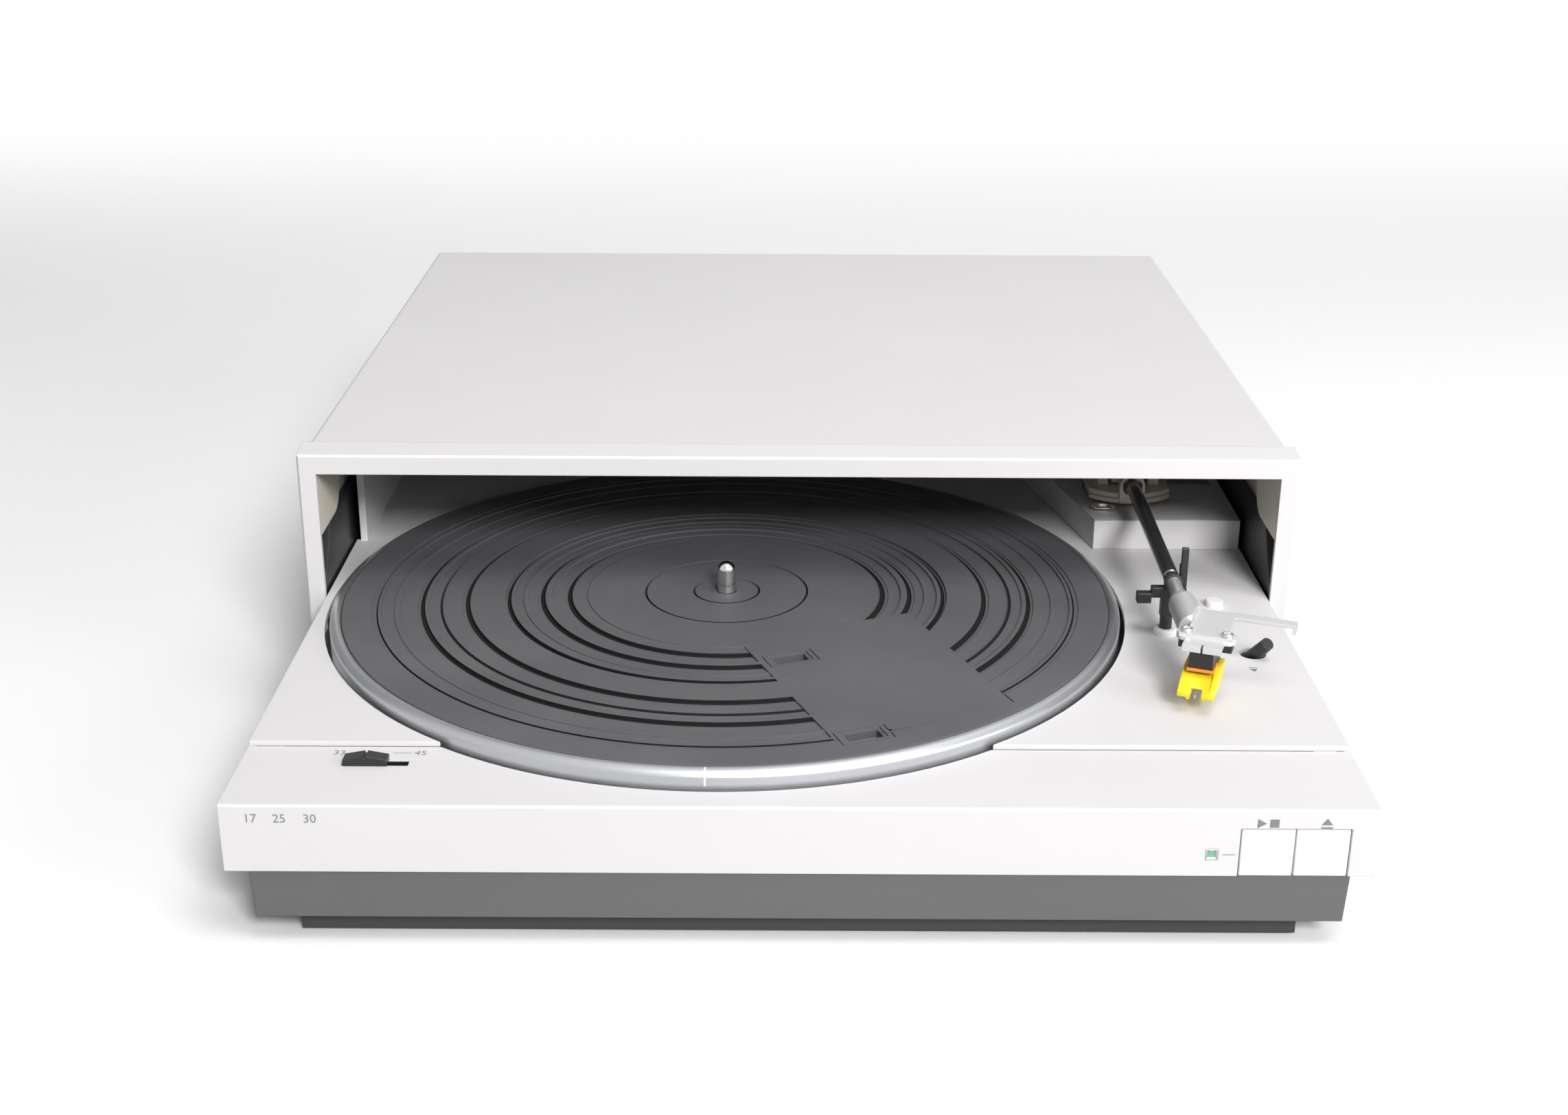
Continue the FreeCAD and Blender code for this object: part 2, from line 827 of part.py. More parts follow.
def make_signal_sockets():
    pieces = []
    for place in (-1, 0):
        centre = Vector(socket_x + place * socket_pitch, rear_inner, socket_z)
        shell = lying(centre, BACK, rear_sheet + socket_length, socket_radius)
        nut = lying(centre + BACK * rear_sheet, BACK, nut_thickness, nut_radius)
        bore = lying(centre + BACK * (rear_sheet + 0.6), BACK, socket_length, socket_bore_radius)
        pieces.append(shell.fuse(nut).cut(bore))
    centre = Vector(socket_x + socket_pitch, rear_inner, socket_z)
    stem = lying(centre, BACK, rear_sheet + socket_length, earth_stem_radius)
    knob = lying(centre + BACK * (rear_sheet + 1), BACK, socket_length - 1.5, socket_radius)
    collar = lying(centre, BACK, rear_sheet, socket_radius)
    pieces.append(stem.fuse([knob, collar]))
    return group(*pieces)


# Drawer pieces
def platter_cut(z0, z1):
    return upright(spindle_x, spindle_y, z0, z1, cut_radius)


button_right = half_panel - button_right_margin
button_left = button_right - 2 * button_size - 3 * button_gap
slider_slot_left = slider_inset - half_panel
slider_slot_right = slider_slot_left + slider_slot_length


def make_front_panel():
    outer = box(-half_panel, half_panel, 0, panel_depth, panel_bottom, panel_top)
    hollow = box(-half_panel + panel_wall, half_panel - panel_wall, panel_wall, panel_depth + 1,
                 panel_bottom - 1, panel_top - panel_top_wall)
    panel = outer.cut(hollow)
    panel = chamfer_along(panel, panel_edge_bevel, lambda e: runs_at(e, y=0, z=panel_top))
    buttons = box(button_left, button_right, -1, panel_wall + 1,
                  panel_bottom - 1, panel_bottom + button_height + button_gap)
    lamp = box(lamp_x - lamp_size / 2, lamp_x + lamp_size / 2, -1, panel_wall + 1,
               lamp_z - lamp_size / 2, lamp_z + lamp_size / 2)
    slot = box(slider_slot_left, slider_slot_right, slider_slot_y - slider_slot_width / 2,
               slider_slot_y + slider_slot_width / 2, panel_top - panel_top_wall - 1, panel_top + 1)
    return panel.cut([buttons, lamp, slot, platter_cut(panel_bottom, panel_top + 1)])


def base_left_at(y):
    return base_left_front + base_left_lean * (y - base_front)


def make_deck_plate():
    left = -half_deck
    narrow_left = -half_deck + side_wall_inset
    top = box(left, half_deck, deck_front, drawer_depth, deck_under, deck_top)
    edge = box(half_deck - panel_wall, half_deck, deck_front, drawer_depth,
               deck_top - deck_flange_depth, deck_top)
    left_edge = box(left, left + panel_wall, deck_front, side_wall_front + 1.5,
                    deck_top - deck_flange_depth, deck_top)
    back_left = box(left - 1, narrow_left, side_wall_front + 1.5, drawer_depth + 1,
                    deck_under - 1, deck_top + 1)
    well = upright(pivot_x, pivot_y, deck_under - 1, deck_top + 1, lift_ring_outer + 1)
    holes = [platter_cut(panel_bottom, deck_top + 1), back_left, well,
             upright(cue_x + cue_hole_shift[0], cue_y + cue_hole_shift[1], deck_under - 1, deck_top + 1,
                     cue_hole_radius),
             upright(rest_x, rest_y, deck_under - 1, deck_top + 1, rest_post_radius + seat_gap),
             box(cue_x - lift_leg_width / 2 - slide_gap, cue_x + lift_leg_width / 2 + slide_gap,
                 pivot_y - lift_leg_depth / 2 - slide_gap, pivot_y + lift_leg_depth / 2 + slide_gap,
                 deck_under - 1, deck_top + 1)]
    tab = box(cue_x + cue_pin_half - cue_tab, cue_x + cue_pin_half,
              cue_y - cue_tab_half_depth, cue_y + cue_tab_half_depth, deck_under - cue_tab_height, deck_under)
    other_tab = tab.translated(ACROSS * (cue_tab - 2 * cue_pin_half))
    pin_bore = lying(Vector(cue_x - cue_pin_half - 1, cue_y, deck_under - cue_hinge_drop), ACROSS,
                     2 * cue_pin_half + 2, cue_pin_radius + running_gap)
    side_wall = box(narrow_left, narrow_left + side_wall_thickness, side_wall_front, drawer_depth,
                    deck_under, deck_top + side_wall_height)
    plate = top.fuse([edge, left_edge]).cut(holes)
    return plate.fuse([side_wall, tab, other_tab]).cut(pin_bore)


def make_tonearm_base():
    def plan(inset, z0, z1):
        back = drawer_depth - inset
        front = base_front + inset
        points = [(base_left_at(front) + inset, front), (base_right - inset, front),
                  (base_right - inset, back), (base_left_at(back) + inset, back)]
        return outline([(x, y, z0) for x, y in points], Vector(0, 0, z1 - z0))

    outer = plan(0, deck_top, base_top)
    outer = chamfer_along(outer, 0.5, lambda e: runs_at(e, y=base_front, z=base_top))
    shell = outer.cut(plan(base_wall, deck_top - 1, base_top - base_wall))
    well = upright(pivot_x, pivot_y, deck_top - 1, base_top + 1, lift_ring_outer + slide_gap)
    screw_hole = upright(height_screw_x, height_screw_y, deck_top, base_top + 1,
                         height_screw_radius - height_screw_rim + seat_gap)
    pocket = box(pivot_x - weight_pocket[0], pivot_x + weight_pocket[1], pivot_y + weight_pocket[2],
                 drawer_depth - 2 * base_wall, base_top - base_wall - 1, base_top + 1)
    return shell.cut([well, screw_hole, pocket])


def make_height_screw():
    inner = height_screw_radius - height_screw_rim
    ring = tube(height_screw_x, height_screw_y, base_top, base_top + height_screw_rise,
                height_screw_radius, inner)
    stem = upright(height_screw_x, height_screw_y, deck_top, base_top + 0.3, inner)
    slot = box(height_screw_x - 3, height_screw_x + 3, height_screw_y - 0.5, height_screw_y + 0.5,
               base_top - 0.5, base_top + 1)
    return ring.fuse(stem).cut(slot)


def make_plinth():
    bottom_half = half_plinth - plinth_taper
    corners = [(-half_plinth, panel_bottom), (-bottom_half, plinth_bottom),
               (bottom_half, plinth_bottom), (half_plinth, panel_bottom)]
    front = outline([(x, plinth_recess, z) for x, z in corners], Vector(0, plinth_wall, 0))
    side = box(bottom_half - plinth_wall, bottom_half, plinth_recess + plinth_wall, tray_front,
               plinth_bottom, panel_bottom)
    return front.fuse([side, mirrored(side)])


def post_places():
    near = half_tray - tray_wall - post_inset
    return [(-near, front_post_y), (near, front_post_y), (near, middle_post_y),
            (back_post_x, back_post_y), (-near, back_post_y)]


def make_tray():
    outer = box(-half_tray, half_tray, tray_front, drawer_depth, plinth_bottom, tray_top)
    hollow = box(-half_tray + tray_wall, half_tray - tray_wall, tray_front + tray_wall,
                 drawer_depth - tray_wall, tray_floor, tray_top + 1)
    shell = outer.cut(hollow)
    posts = []
    for x, y in post_places():
        top = panel_top - panel_top_wall if y < panel_depth else deck_under
        posts.append(upright(x, y, tray_floor, mechanism_level, post_shoulder))
        posts.append(upright(x, y, mechanism_level, top, post_radius))
    pegs = []
    for x in (board_left + board_peg_inset, board_left + board_width - board_peg_inset):
        for y in (board_front + board_peg_inset, board_front + board_depth - board_peg_inset):
            pegs.append(upright(x, y, tray_floor, tray_floor + board_lift, board_peg_radius))
    notch = upright(loading_x, loading_y, rack_bottom - slide_gap, tray_top + 1,
                    pitch_radius + tooth_module + 1)
    return shell.fuse(posts + pegs).cut(notch)


def make_skid():
    bar = box(-skid_half_width, skid_half_width, skid_front, skid_front + skid_depth,
              skid_clear, plinth_bottom)
    hollow = box(-skid_half_width + skid_wall, skid_half_width - skid_wall, skid_front + skid_wall,
                 skid_front + skid_depth - skid_wall, skid_clear + skid_wall, plinth_bottom + 1)
    return bar.cut(hollow)


def make_runner():
    return box(half_tray, half_panel - runner_clear, drawer_depth - runner_length, drawer_depth,
               runner_bottom, runner_top)


def make_mechanism_plate():
    inner = half_tray - tray_wall - mechanism_margin
    plate = box(-inner, inner, tray_front + tray_wall + mechanism_margin,
                drawer_depth - tray_wall - mechanism_margin, mechanism_level, mechanism_top)
    holes = [upright(x, y, mechanism_level - 1, mechanism_top + 1, post_radius + seat_gap)
             for x, y in post_places()]
    holes.append(upright(spindle_x, spindle_y, mechanism_level - 1, mechanism_top + 1,
                         bearing_radius + seat_gap))
    holes.append(upright(motor_x, loading_y, mechanism_level - 1, mechanism_top + 1, motor_hole_radius))
    holes.append(upright(pivot_x, pivot_y, mechanism_level - 1, mechanism_top + 1,
                         arm_shaft_radius + running_gap))
    holes.append(upright(arm_motor_x, arm_motor_y, mechanism_level - 1, mechanism_top + 1, motor_hole_radius))
    stud = upright(loading_x, loading_y, mechanism_level, pulley_bottom + pulley_thickness,
                   gear_shaft_radius)
    collar = upright(loading_x, loading_y, mechanism_level, pinion_bottom - slide_gap, stud_collar_radius)
    return plate.cut(holes).fuse([stud, collar])


def make_circuit_board():
    level = tray_floor + board_lift
    board = box(board_left, board_left + board_width, board_front, board_front + board_depth,
                level, level + board_thickness)
    top = level + board_thickness
    chips = []
    for column in range(4):
        x = board_left + board_width * (0.12 + column * 0.2)
        middle = board_front + board_depth * 0.57
        chips.append(box(x, x + chip_length, board_front + board_depth * 0.2,
                         board_front + board_depth * 0.2 + chip_width, top, top + chip_height))
        chips.append(upright(x + chip_length / 2, middle, top, top + capacitor_height, capacitor_radius))
        chips.append(box(x, x + relay_length, board_front + board_depth * 0.8,
                         board_front + board_depth * 0.8 + relay_width, top, top + relay_height))
    return board.fuse(chips)


def make_transformer():
    core = box(transformer_x - transformer_width / 2, transformer_x + transformer_width / 2,
               transformer_y, transformer_y + transformer_depth, tray_floor, tray_floor + transformer_height)
    half_winding = transformer_width / 2 - winding_inset
    winding = box(transformer_x - half_winding, transformer_x + half_winding,
                  transformer_y - winding_reach, transformer_y + transformer_depth + winding_reach,
                  tray_floor + winding_recess, tray_floor + transformer_height - winding_recess)
    return core.fuse(winding)


def make_size_sensors():
    sensors = []
    turn = math.radians(window_angle)
    for radius in window_radii:
        x = spindle_x + radius * math.cos(turn)
        y = spindle_y + radius * math.sin(turn)
        body = box(-sensor_length / 2, sensor_length / 2, -sensor_width / 2, sensor_width / 2,
                   mechanism_top, mechanism_top + sensor_height)
        eye = box(-2, 2, -2, 2, mechanism_top + sensor_height - 1, mechanism_top + sensor_height + 1)
        body = body.cut(eye)
        body.rotate(Vector(0, 0, 0), UP, window_angle + 90)
        body.translate(Vector(x, y, 0))
        sensors.append(body)
    return group(*sensors)


# Front controls
def make_button(left):
    cap = box(left, left + button_size, 0, button_depth,
              panel_bottom + button_gap / 2, panel_bottom + button_height)
    cap = chamfer_along(cap, button_bevel, lambda e: runs_at(e, y=0))
    x = left + button_size / 2
    z = panel_bottom + button_height / 2
    stem = box(x - button_stem_half, x + button_stem_half, button_depth, button_depth + button_stem_length,
               z - button_stem_half, z + button_stem_half)
    return cap.fuse(stem)


start_left = button_left + button_gap
open_left = start_left + button_size + button_gap


def make_button_board():
    front = tray_front - control_board_thickness
    board = box(lamp_x - 10, half_panel - panel_wall - 2, front, tray_front,
                panel_bottom + 1, panel_bottom + button_height)
    middle = panel_bottom + button_height / 2
    return board.cut([lying(Vector(left + button_size / 2, front - 1, middle), BACK, 4, 1.2)
                      for left in (start_left, open_left)])


def make_lamp_lens():
    half = lamp_size / 2 - seat_gap
    lens = box(lamp_x - half, lamp_x + half, 0.5, lamp_depth, lamp_z - half, lamp_z + half)
    foot = lying(Vector(lamp_x, lamp_depth, lamp_z), BACK,
                 tray_front - control_board_thickness - lamp_depth, lamp_foot_radius)
    return lens.fuse(foot)


def make_lamp_bezel():
    half = lamp_size / 2
    frame = box(lamp_x - half + 0.02, lamp_x + half - 0.02, 0.1, 0.45,
                lamp_z - half + 0.02, lamp_z + half - 0.02)
    inner = half - lamp_frame
    return frame.cut(box(lamp_x - inner, lamp_x + inner, 0, 1, lamp_z - inner, lamp_z + inner))


def make_speed_slider():
    left = slider_slot_left + 0.6
    right = left + slider_knob_length
    y0 = slider_slot_y - slider_knob_width / 2
    low = panel_top + slide_gap / 2
    shoulder = low + slider_knob_height - slider_peak
    middle = (left + right) / 2
    knob = outline([(left, y0, low), (right, y0, low), (right, y0, shoulder),
                    (middle, y0, shoulder + slider_peak), (left, y0, shoulder)],
                   Vector(0, slider_knob_width, 0))
    notch = box(middle - 0.4, middle + 0.4, y0 - 1, y0 + slider_knob_width + 1,
                shoulder + slider_peak - 0.9, shoulder + slider_peak + 1)
    stem = box(left + 2, left + 7, slider_slot_y - slider_stem_width / 2,
               slider_slot_y + slider_stem_width / 2, panel_top - panel_top_wall - 2, low)
    return knob.cut(notch).fuse(stem)


def make_speed_switch():
    left = slider_slot_left - 2
    top = panel_top - panel_top_wall - 2 - slide_gap
    body = box(left, slider_slot_right + 2, slider_slot_y - 4, slider_slot_y + 4, mechanism_top, top)
    return body


# Cue lever and what it works
def make_cue_lever():
    hinge = Vector(cue_x, cue_y, deck_under - cue_hinge_drop)
    ball = Part.makeSphere(cue_ball_radius, hinge)
    lean = FreeCAD.Rotation(ACROSS, cue_lean_front).multVec(UP)
    lean = FreeCAD.Rotation(BACK, cue_lean_right).multVec(lean)
    stick = Part.makeCone(cue_radius + cue_root_growth, cue_radius, cue_length, hinge, lean)
    foot = lying(hinge, UP * -1, cue_foot, cue_foot_radius)
    pin = lying(hinge - ACROSS * cue_pin_half, ACROSS, 2 * cue_pin_half, cue_pin_radius)
    return ball.fuse([stick, foot, pin])


lift_ring_top = base_top - lift_ring_drop
cue_bar_top = cue_bar_level + cue_bar_thickness
ramp_front = pivot_y - cue_ramp_length / 2


def make_cue_bar():
    """The bar that the cue lever pulls forwards; the ramp at its end lifts the ring."""
    left = cue_x - cue_bar_width / 2
    right = cue_x + cue_bar_width / 2
    eye_half = cue_slot_half + cue_eye_wall
    eye = box(cue_x - cue_eye_half_width, cue_x + cue_eye_half_width, cue_y - eye_half, cue_y + eye_half,
              cue_bar_level, cue_bar_top)
    slot = box(cue_x - cue_foot_radius - slide_gap, cue_x + cue_foot_radius + slide_gap,
               cue_y - cue_slot_half, cue_y + cue_slot_half, cue_bar_level - 1, cue_bar_top + 1)
    bar = box(left, right, cue_y + cue_slot_half + 1, ramp_front + cue_ramp_length,
              cue_bar_level, cue_bar_top)
    ramp = side_outline([(ramp_front, cue_bar_top), (ramp_front + cue_ramp_length, cue_bar_top),
                         (ramp_front + cue_ramp_length, cue_bar_top + cue_ramp_rise)], left, right)
    return eye.cut(slot).fuse([bar, ramp]).removeSplitter()


def make_lift_ring():
    bottom = lift_ring_top - lift_ring_height
    ring = upright(pivot_x, pivot_y, bottom, lift_ring_top, lift_ring_outer)
    right = cue_x + lift_leg_width / 2
    arm = box(pivot_x, right, pivot_y - lift_leg_depth / 2, pivot_y + lift_leg_depth / 2,
              bottom, bottom + cue_bar_thickness)
    touch = cue_bar_top + cue_ramp_rise * (pivot_y + lift_leg_depth / 2 - ramp_front) / cue_ramp_length
    leg = box(right - lift_leg_width, right, pivot_y - lift_leg_depth / 2, pivot_y + lift_leg_depth / 2,
              touch + slide_gap, bottom)
    bore = upright(pivot_x, pivot_y, bottom - 1, lift_ring_top + 1, arm_sleeve_radius + running_gap)
    return ring.fuse([arm, leg]).cut(bore)


def make_stop_peg():
    peg = upright(peg_x, peg_y, deck_top, deck_top + peg_height, peg_radius)
    return chamfer_along(peg, peg_bevel, lambda e: runs_at(e, z=deck_top + peg_height))


# Armrest
def make_rest_ring():
    ring = tube(rest_x, rest_y, deck_top, deck_top + rest_ring_height,
                rest_ring_radius, rest_post_radius + seat_gap / 2)
    return chamfer_along(ring, 0.5, lambda e: runs_at(e, z=deck_top + rest_ring_height)
                         and e.BoundBox.XLength > 2 * rest_post_radius + 1)


rest_shelf = arm_axis - tube_neck_radius - slide_gap


def make_rest_post():
    y0 = rest_y - rest_half_depth
    y1 = rest_y + rest_half_depth
    post = upright(rest_x, rest_y, deck_under, deck_top + rest_clamp_level, rest_post_radius)
    stem = box(rest_x - rest_stem[0], rest_x + rest_stem[1], y0, y1, deck_top + rest_clamp_level, rest_shelf)
    shelf = box(rest_x - rest_shelf_left, rest_x + rest_shelf_right, y0, y1,
                rest_shelf - rest_shelf_thickness, rest_shelf)
    tab = box(rest_x - rest_tab_left, rest_x - rest_shelf_left, y0, y1,
              rest_shelf - rest_shelf_thickness - rest_tab_drop, rest_shelf - rest_tab_drop)
    cheek = box(clip_left - clip_thickness / 2, rest_x + rest_shelf_right, rest_y + slide_gap, y1,
                rest_shelf, clip_level + 1.6)
    hole = lying(Vector(clip_centre, y0 - 1, clip_level), BACK, 2 * rest_half_depth + 2,
                 clip_pin_radius + running_gap)
    return post.fuse([stem, shelf, tab, cheek]).cut(hole)


clip_centre = rest_x + clip_at
clip_left = clip_centre - clip_width / 2 + 1.3
clip_level = deck_top + clip_pin_level


def make_rest_clip():
    y0 = rest_y - rest_half_depth
    blade = box(clip_centre - clip_width / 2, clip_centre + clip_width / 2, y0, rest_y,
                rest_shelf + 0.4, deck_top + clip_height)
    pin = lying(Vector(clip_centre, rest_y, clip_level), BACK, rest_half_depth, clip_pin_radius)
    return blade.fuse(pin)


# Platter pieces
def make_platter():
    top = deck_top + rim_level
    skirt_inner = platter_radius - platter_wall
    under = mat_seat - platter_web
    profile = [(spindle_radius + running_gap, mat_seat), (platter_radius - rim_width, mat_seat),
               (platter_radius - rim_width, top), (platter_radius - rim_bevel, top),
               (platter_radius, top - rim_bevel_drop), (platter_radius, top - platter_skirt),
               (skirt_inner, top - platter_skirt), (skirt_inner, under), (hub_radius, under),
               (hub_radius, under - hub_depth), (spindle_radius + running_gap, under - hub_depth)]
    body = turned(profile, spindle_x, spindle_y)
    return body.cut(window_blocks(under - 1, mat_seat + 1))


def window_blocks(z0, z1):
    """The two slots through platter and mat that the size sensors look through."""
    blocks = []
    for radius in window_radii:
        block = box(radius - window_width / 2, radius + window_width / 2,
                    -window_length / 2, window_length / 2, z0, z1)
        block.rotate(Vector(0, 0, 0), UP, window_angle)
        block.translate(Vector(spindle_x, spindle_y, 0))
        blocks.append(block)
    return blocks


def make_mat():
    profile = [(spindle_radius + seat_gap, mat_seat), (spindle_radius + seat_gap, mat_top)]
    for inner, outer in [(mat_radius * a, mat_radius * b) for a, b in groove_bands]:
        profile += [(inner, mat_top), (inner, mat_top - groove_depth),
                    (outer, mat_top - groove_depth), (outer, mat_top)]
    profile += [(mat_radius - mat_edge_bevel, mat_top), (mat_radius, mat_top - mat_edge_bevel),
                (mat_radius, mat_seat)]
    mat = turned(profile, spindle_x, spindle_y)
    flat = box(-flat_length / 2, flat_length / 2, -flat_width / 2, flat_width / 2,
               mat_top - groove_depth - 0.2, mat_top)
    flat.rotate(Vector(0, 0, 0), UP, flat_angle)
    flat.translate(Vector(spindle_x + flat_centre[0], spindle_y + flat_centre[1], 0))
    limit = upright(spindle_x, spindle_y, mat_seat, mat_top, mat_radius - 1)
    return mat.fuse(flat.common(limit)).removeSplitter().cut(window_blocks(mat_seat - 1, mat_top + 1))


def make_spindle():
    centre = mat_top + spindle_height - spindle_radius
    shaft = upright(spindle_x, spindle_y, bearing_bottom + bearing_floor + seat_gap, centre, spindle_radius)
    ball = Part.makeSphere(spindle_radius, Vector(spindle_x, spindle_y, centre))
    return shaft.fuse(ball)


def make_spindle_bearing():
    under = mat_seat - platter_web - hub_depth
    top = under - 1
    sleeve = upright(spindle_x, spindle_y, bearing_bottom, top, bearing_radius)
    flange = upright(spindle_x, spindle_y, mechanism_top, mechanism_top + bearing_flange,
                     bearing_flange_radius)
    bore = upright(spindle_x, spindle_y, bearing_bottom + bearing_floor, top + 1,
                   spindle_radius + running_gap)
    return sleeve.fuse(flange).cut(bore)


def make_stator_board():
    level = mechanism_top + bearing_flange
    return tube(spindle_x, spindle_y, level, level + stator_board_thickness,
                stator_radius, bearing_radius + seat_gap)


def make_stator_coils():
    level = mechanism_top + bearing_flange + stator_board_thickness
    coils = []
    for step in range(coil_count):
        turn = 2 * math.pi * step / coil_count
        x = spindle_x + coil_ring_radius * math.cos(turn)
        y = spindle_y + coil_ring_radius * math.sin(turn)
        coils.append(tube(x, y, level, level + coil_height, coil_outer, coil_inner))
    return group(*coils)


def make_rotor_magnet():
    top = mat_seat - platter_web
    return tube(spindle_x, spindle_y, top - magnet_height, top, magnet_outer, magnet_inner)


# Tonearm pieces, drawn straight ahead (along -Y) of the pivot
def ahead(start, length, radius, level=arm_axis, side=0.0):
    return lying(Vector(side, -start, level), BACK * -1, length, radius)


cheek_inside = block_width / 2 + cheek_gap
yoke_bottom = base_top + yoke_clear


def make_arm_yoke():
    lower = upright(0, 0, yoke_bottom, yoke_bottom + yoke_tier, yoke_radius)
    upper = upright(0, 0, yoke_bottom + yoke_tier, yoke_bottom + 2 * yoke_tier,
                    yoke_radius - yoke_tier_inset)
    keep = box(-yoke_half_width, yoke_half_width, -yoke_radius - 1, yoke_radius * 0.6,
               yoke_bottom - 1, yoke_bottom + 3 * yoke_tier)
    disc = lower.fuse(upper).common(keep)
    cheek = box(cheek_inside, cheek_inside + cheek_thickness, -cheek_length / 2, cheek_length / 2,
                yoke_bottom, arm_axis + cheek_height)
    cheek = fillet_along(cheek, 4.0, lambda e: runs_at(e, z=arm_axis + cheek_height)
                         and e.BoundBox.YLength < 1e-4)
    collar = ahead(ring_at - ring_length / 2, ring_length, ring_outer)
    foot = box(-ring_outer, ring_outer, -ring_at - ring_length / 2, -ring_at + ring_length / 2,
               yoke_bottom, arm_axis)
    shaft = upright(0, 0, mechanism_level, yoke_bottom, arm_shaft_radius)
    yoke = disc.fuse([cheek, mirrored(cheek), collar, foot, shaft])
    room = box(-block_width / 2 - cheek_gap, block_width / 2 + cheek_gap,
               -ring_at + ring_length / 2, block_back + weight_gap + weight_length,
               arm_axis - block_below - block_clear, arm_axis + 3 * cheek_height)
    pin_bore = lying(Vector(-cheek_inside - cheek_thickness - 1, 0, arm_axis), ACROSS,
                     2 * (cheek_inside + cheek_thickness + 1), pivot_pin_radius + running_gap)
    lift_hole = upright(0, -lift_pin_at, yoke_bottom - 1, arm_axis, lift_pin_radius + running_gap)
    cuts = [room, pin_bore, lift_hole, ahead(ring_at - ring_length, 2 * ring_length, ring_inner)]
    return from_pivot(yoke.cut(cuts))


def make_arm_wheel():
    wheel = gear(arm_wheel_teeth, arm_module, arm_gear_level, arm_gear_level + arm_gear_thickness,
                 tooth_play * 0.8, arm_drive_angle)
    bore = upright(0, 0, arm_gear_level - 1, arm_gear_level + arm_gear_thickness + 1,
                   arm_shaft_radius + running_gap)
    wheel = wheel.cut(bore)
    wheel.translate(Vector(pivot_x, pivot_y, 0))
    return wheel


def make_arm_sleeve():
    bottom = arm_gear_level + arm_gear_thickness + slide_gap
    top = yoke_bottom - slide_gap
    sleeve = tube(pivot_x, pivot_y, bottom, top, arm_sleeve_radius, arm_shaft_radius + running_gap)
    flange = tube(pivot_x, pivot_y, deck_under - 1.5, deck_under, lift_ring_outer + 5,
                  arm_shaft_radius + running_gap)
    return sleeve.fuse(flange)


arm_gear_distance = arm_module * (arm_wheel_teeth + arm_pinion_teeth) / 2
arm_motor_x = pivot_x + arm_gear_distance * math.cos(math.radians(arm_drive_angle))
arm_motor_y = pivot_y + arm_gear_distance * math.sin(math.radians(arm_drive_angle))


def make_arm_pinion():
    half_tooth = 180 / arm_pinion_teeth
    pinion = gear(arm_pinion_teeth, arm_module, arm_gear_level - 0.5,
                  arm_gear_level + arm_gear_thickness + 0.5, tooth_play * 0.8,
                  arm_drive_angle + 180 + half_tooth)
    pinion.translate(Vector(arm_motor_x, arm_motor_y, 0))
    shaft = upright(arm_motor_x, arm_motor_y, mechanism_level - 2, arm_gear_level, gear_shaft_radius)
    return pinion.fuse(shaft)


def make_arm_motor():
    body = upright(arm_motor_x, arm_motor_y, mechanism_level - arm_motor_height, mechanism_level,
                   arm_motor_radius)
    bore = upright(arm_motor_x, arm_motor_y, mechanism_level - motor_shaft_depth, mechanism_level + 1,
                   gear_shaft_radius + running_gap)
    return body.cut(bore)


def make_lift_pin():
    pin = upright(0, -lift_pin_at, yoke_bottom - 1.5, arm_axis - tube_radius - slide_gap, lift_pin_radius)
    return from_pivot(pin)


def make_pivot_block():
    block = box(-block_width / 2, block_width / 2, -tube_start, block_back,
                arm_axis - block_below, arm_axis + block_above)
    pin_reach = cheek_gap + cheek_thickness
    pins = lying(Vector(-block_width / 2 - pin_reach, 0, arm_axis), ACROSS,
                 block_width + 2 * pin_reach, pivot_pin_radius)
    stub = ahead(-block_back - weight_gap - weight_length - 1,
                 weight_gap + weight_length + 1, weight_stub_radius)
    return from_pivot(block.fuse([pins, stub]))


def make_counterweight():
    start = block_back + weight_gap
    weight = ahead(-start - weight_length, weight_length, weight_radius)
    bore = ahead(-start - weight_length - 1, weight_length + 2, weight_stub_radius + running_gap)
    rim = ahead(-start - weight_length, 4, weight_radius - 1.5)
    weight = chamfer_along(weight, 0.8, lambda e: e.BoundBox.YLength < 1e-4)
    return from_pivot(weight.cut(bore).fuse(rim.cut(bore)))


def make_arm_tube():
    length = tube_ring_at - tube_start
    barrel = ahead(tube_start, length, tube_radius)
    ring = ahead(tube_ring_at, tube_ring_length, tube_ring_radius)
    neck_start = tube_ring_at + tube_ring_length
    neck = ahead(neck_start, collar_at - neck_start, tube_neck_radius)
    return from_pivot(barrel.fuse([ring, neck]))


def make_head_collar():
    collar = ahead(collar_at, collar_length, collar_radius)
    collar = fillet_along(collar, collar_round,
                          lambda e: runs_at(e, y=-collar_at) and e.BoundBox.XLength > 1)
    collar = from_pivot(collar)
    return collar.cut(shell_outer(seat_gap / 2, collar_radius))


# Headshell pieces, drawn straight ahead (along -Y) of the screw line
shell_top = arm_axis + head_top
front_top = shell_top - shell_step


def shell_outer(grow, above):
    """The space that the headshell plate takes and the air above it, to fit the collar round it."""
    plate = box(-shell_half_width - grow, shell_half_width + grow, -shell_front - grow,
                shell_back + grow, shell_top - shell_thickness - grow, shell_top + above)
    ears = [upright(side * screw_spacing / 2, 0, shell_top - shell_thickness - grow,
                    shell_top + above, ear_radius + grow) for side in (-1, 1)]
    return on_head(plate.fuse(ears))


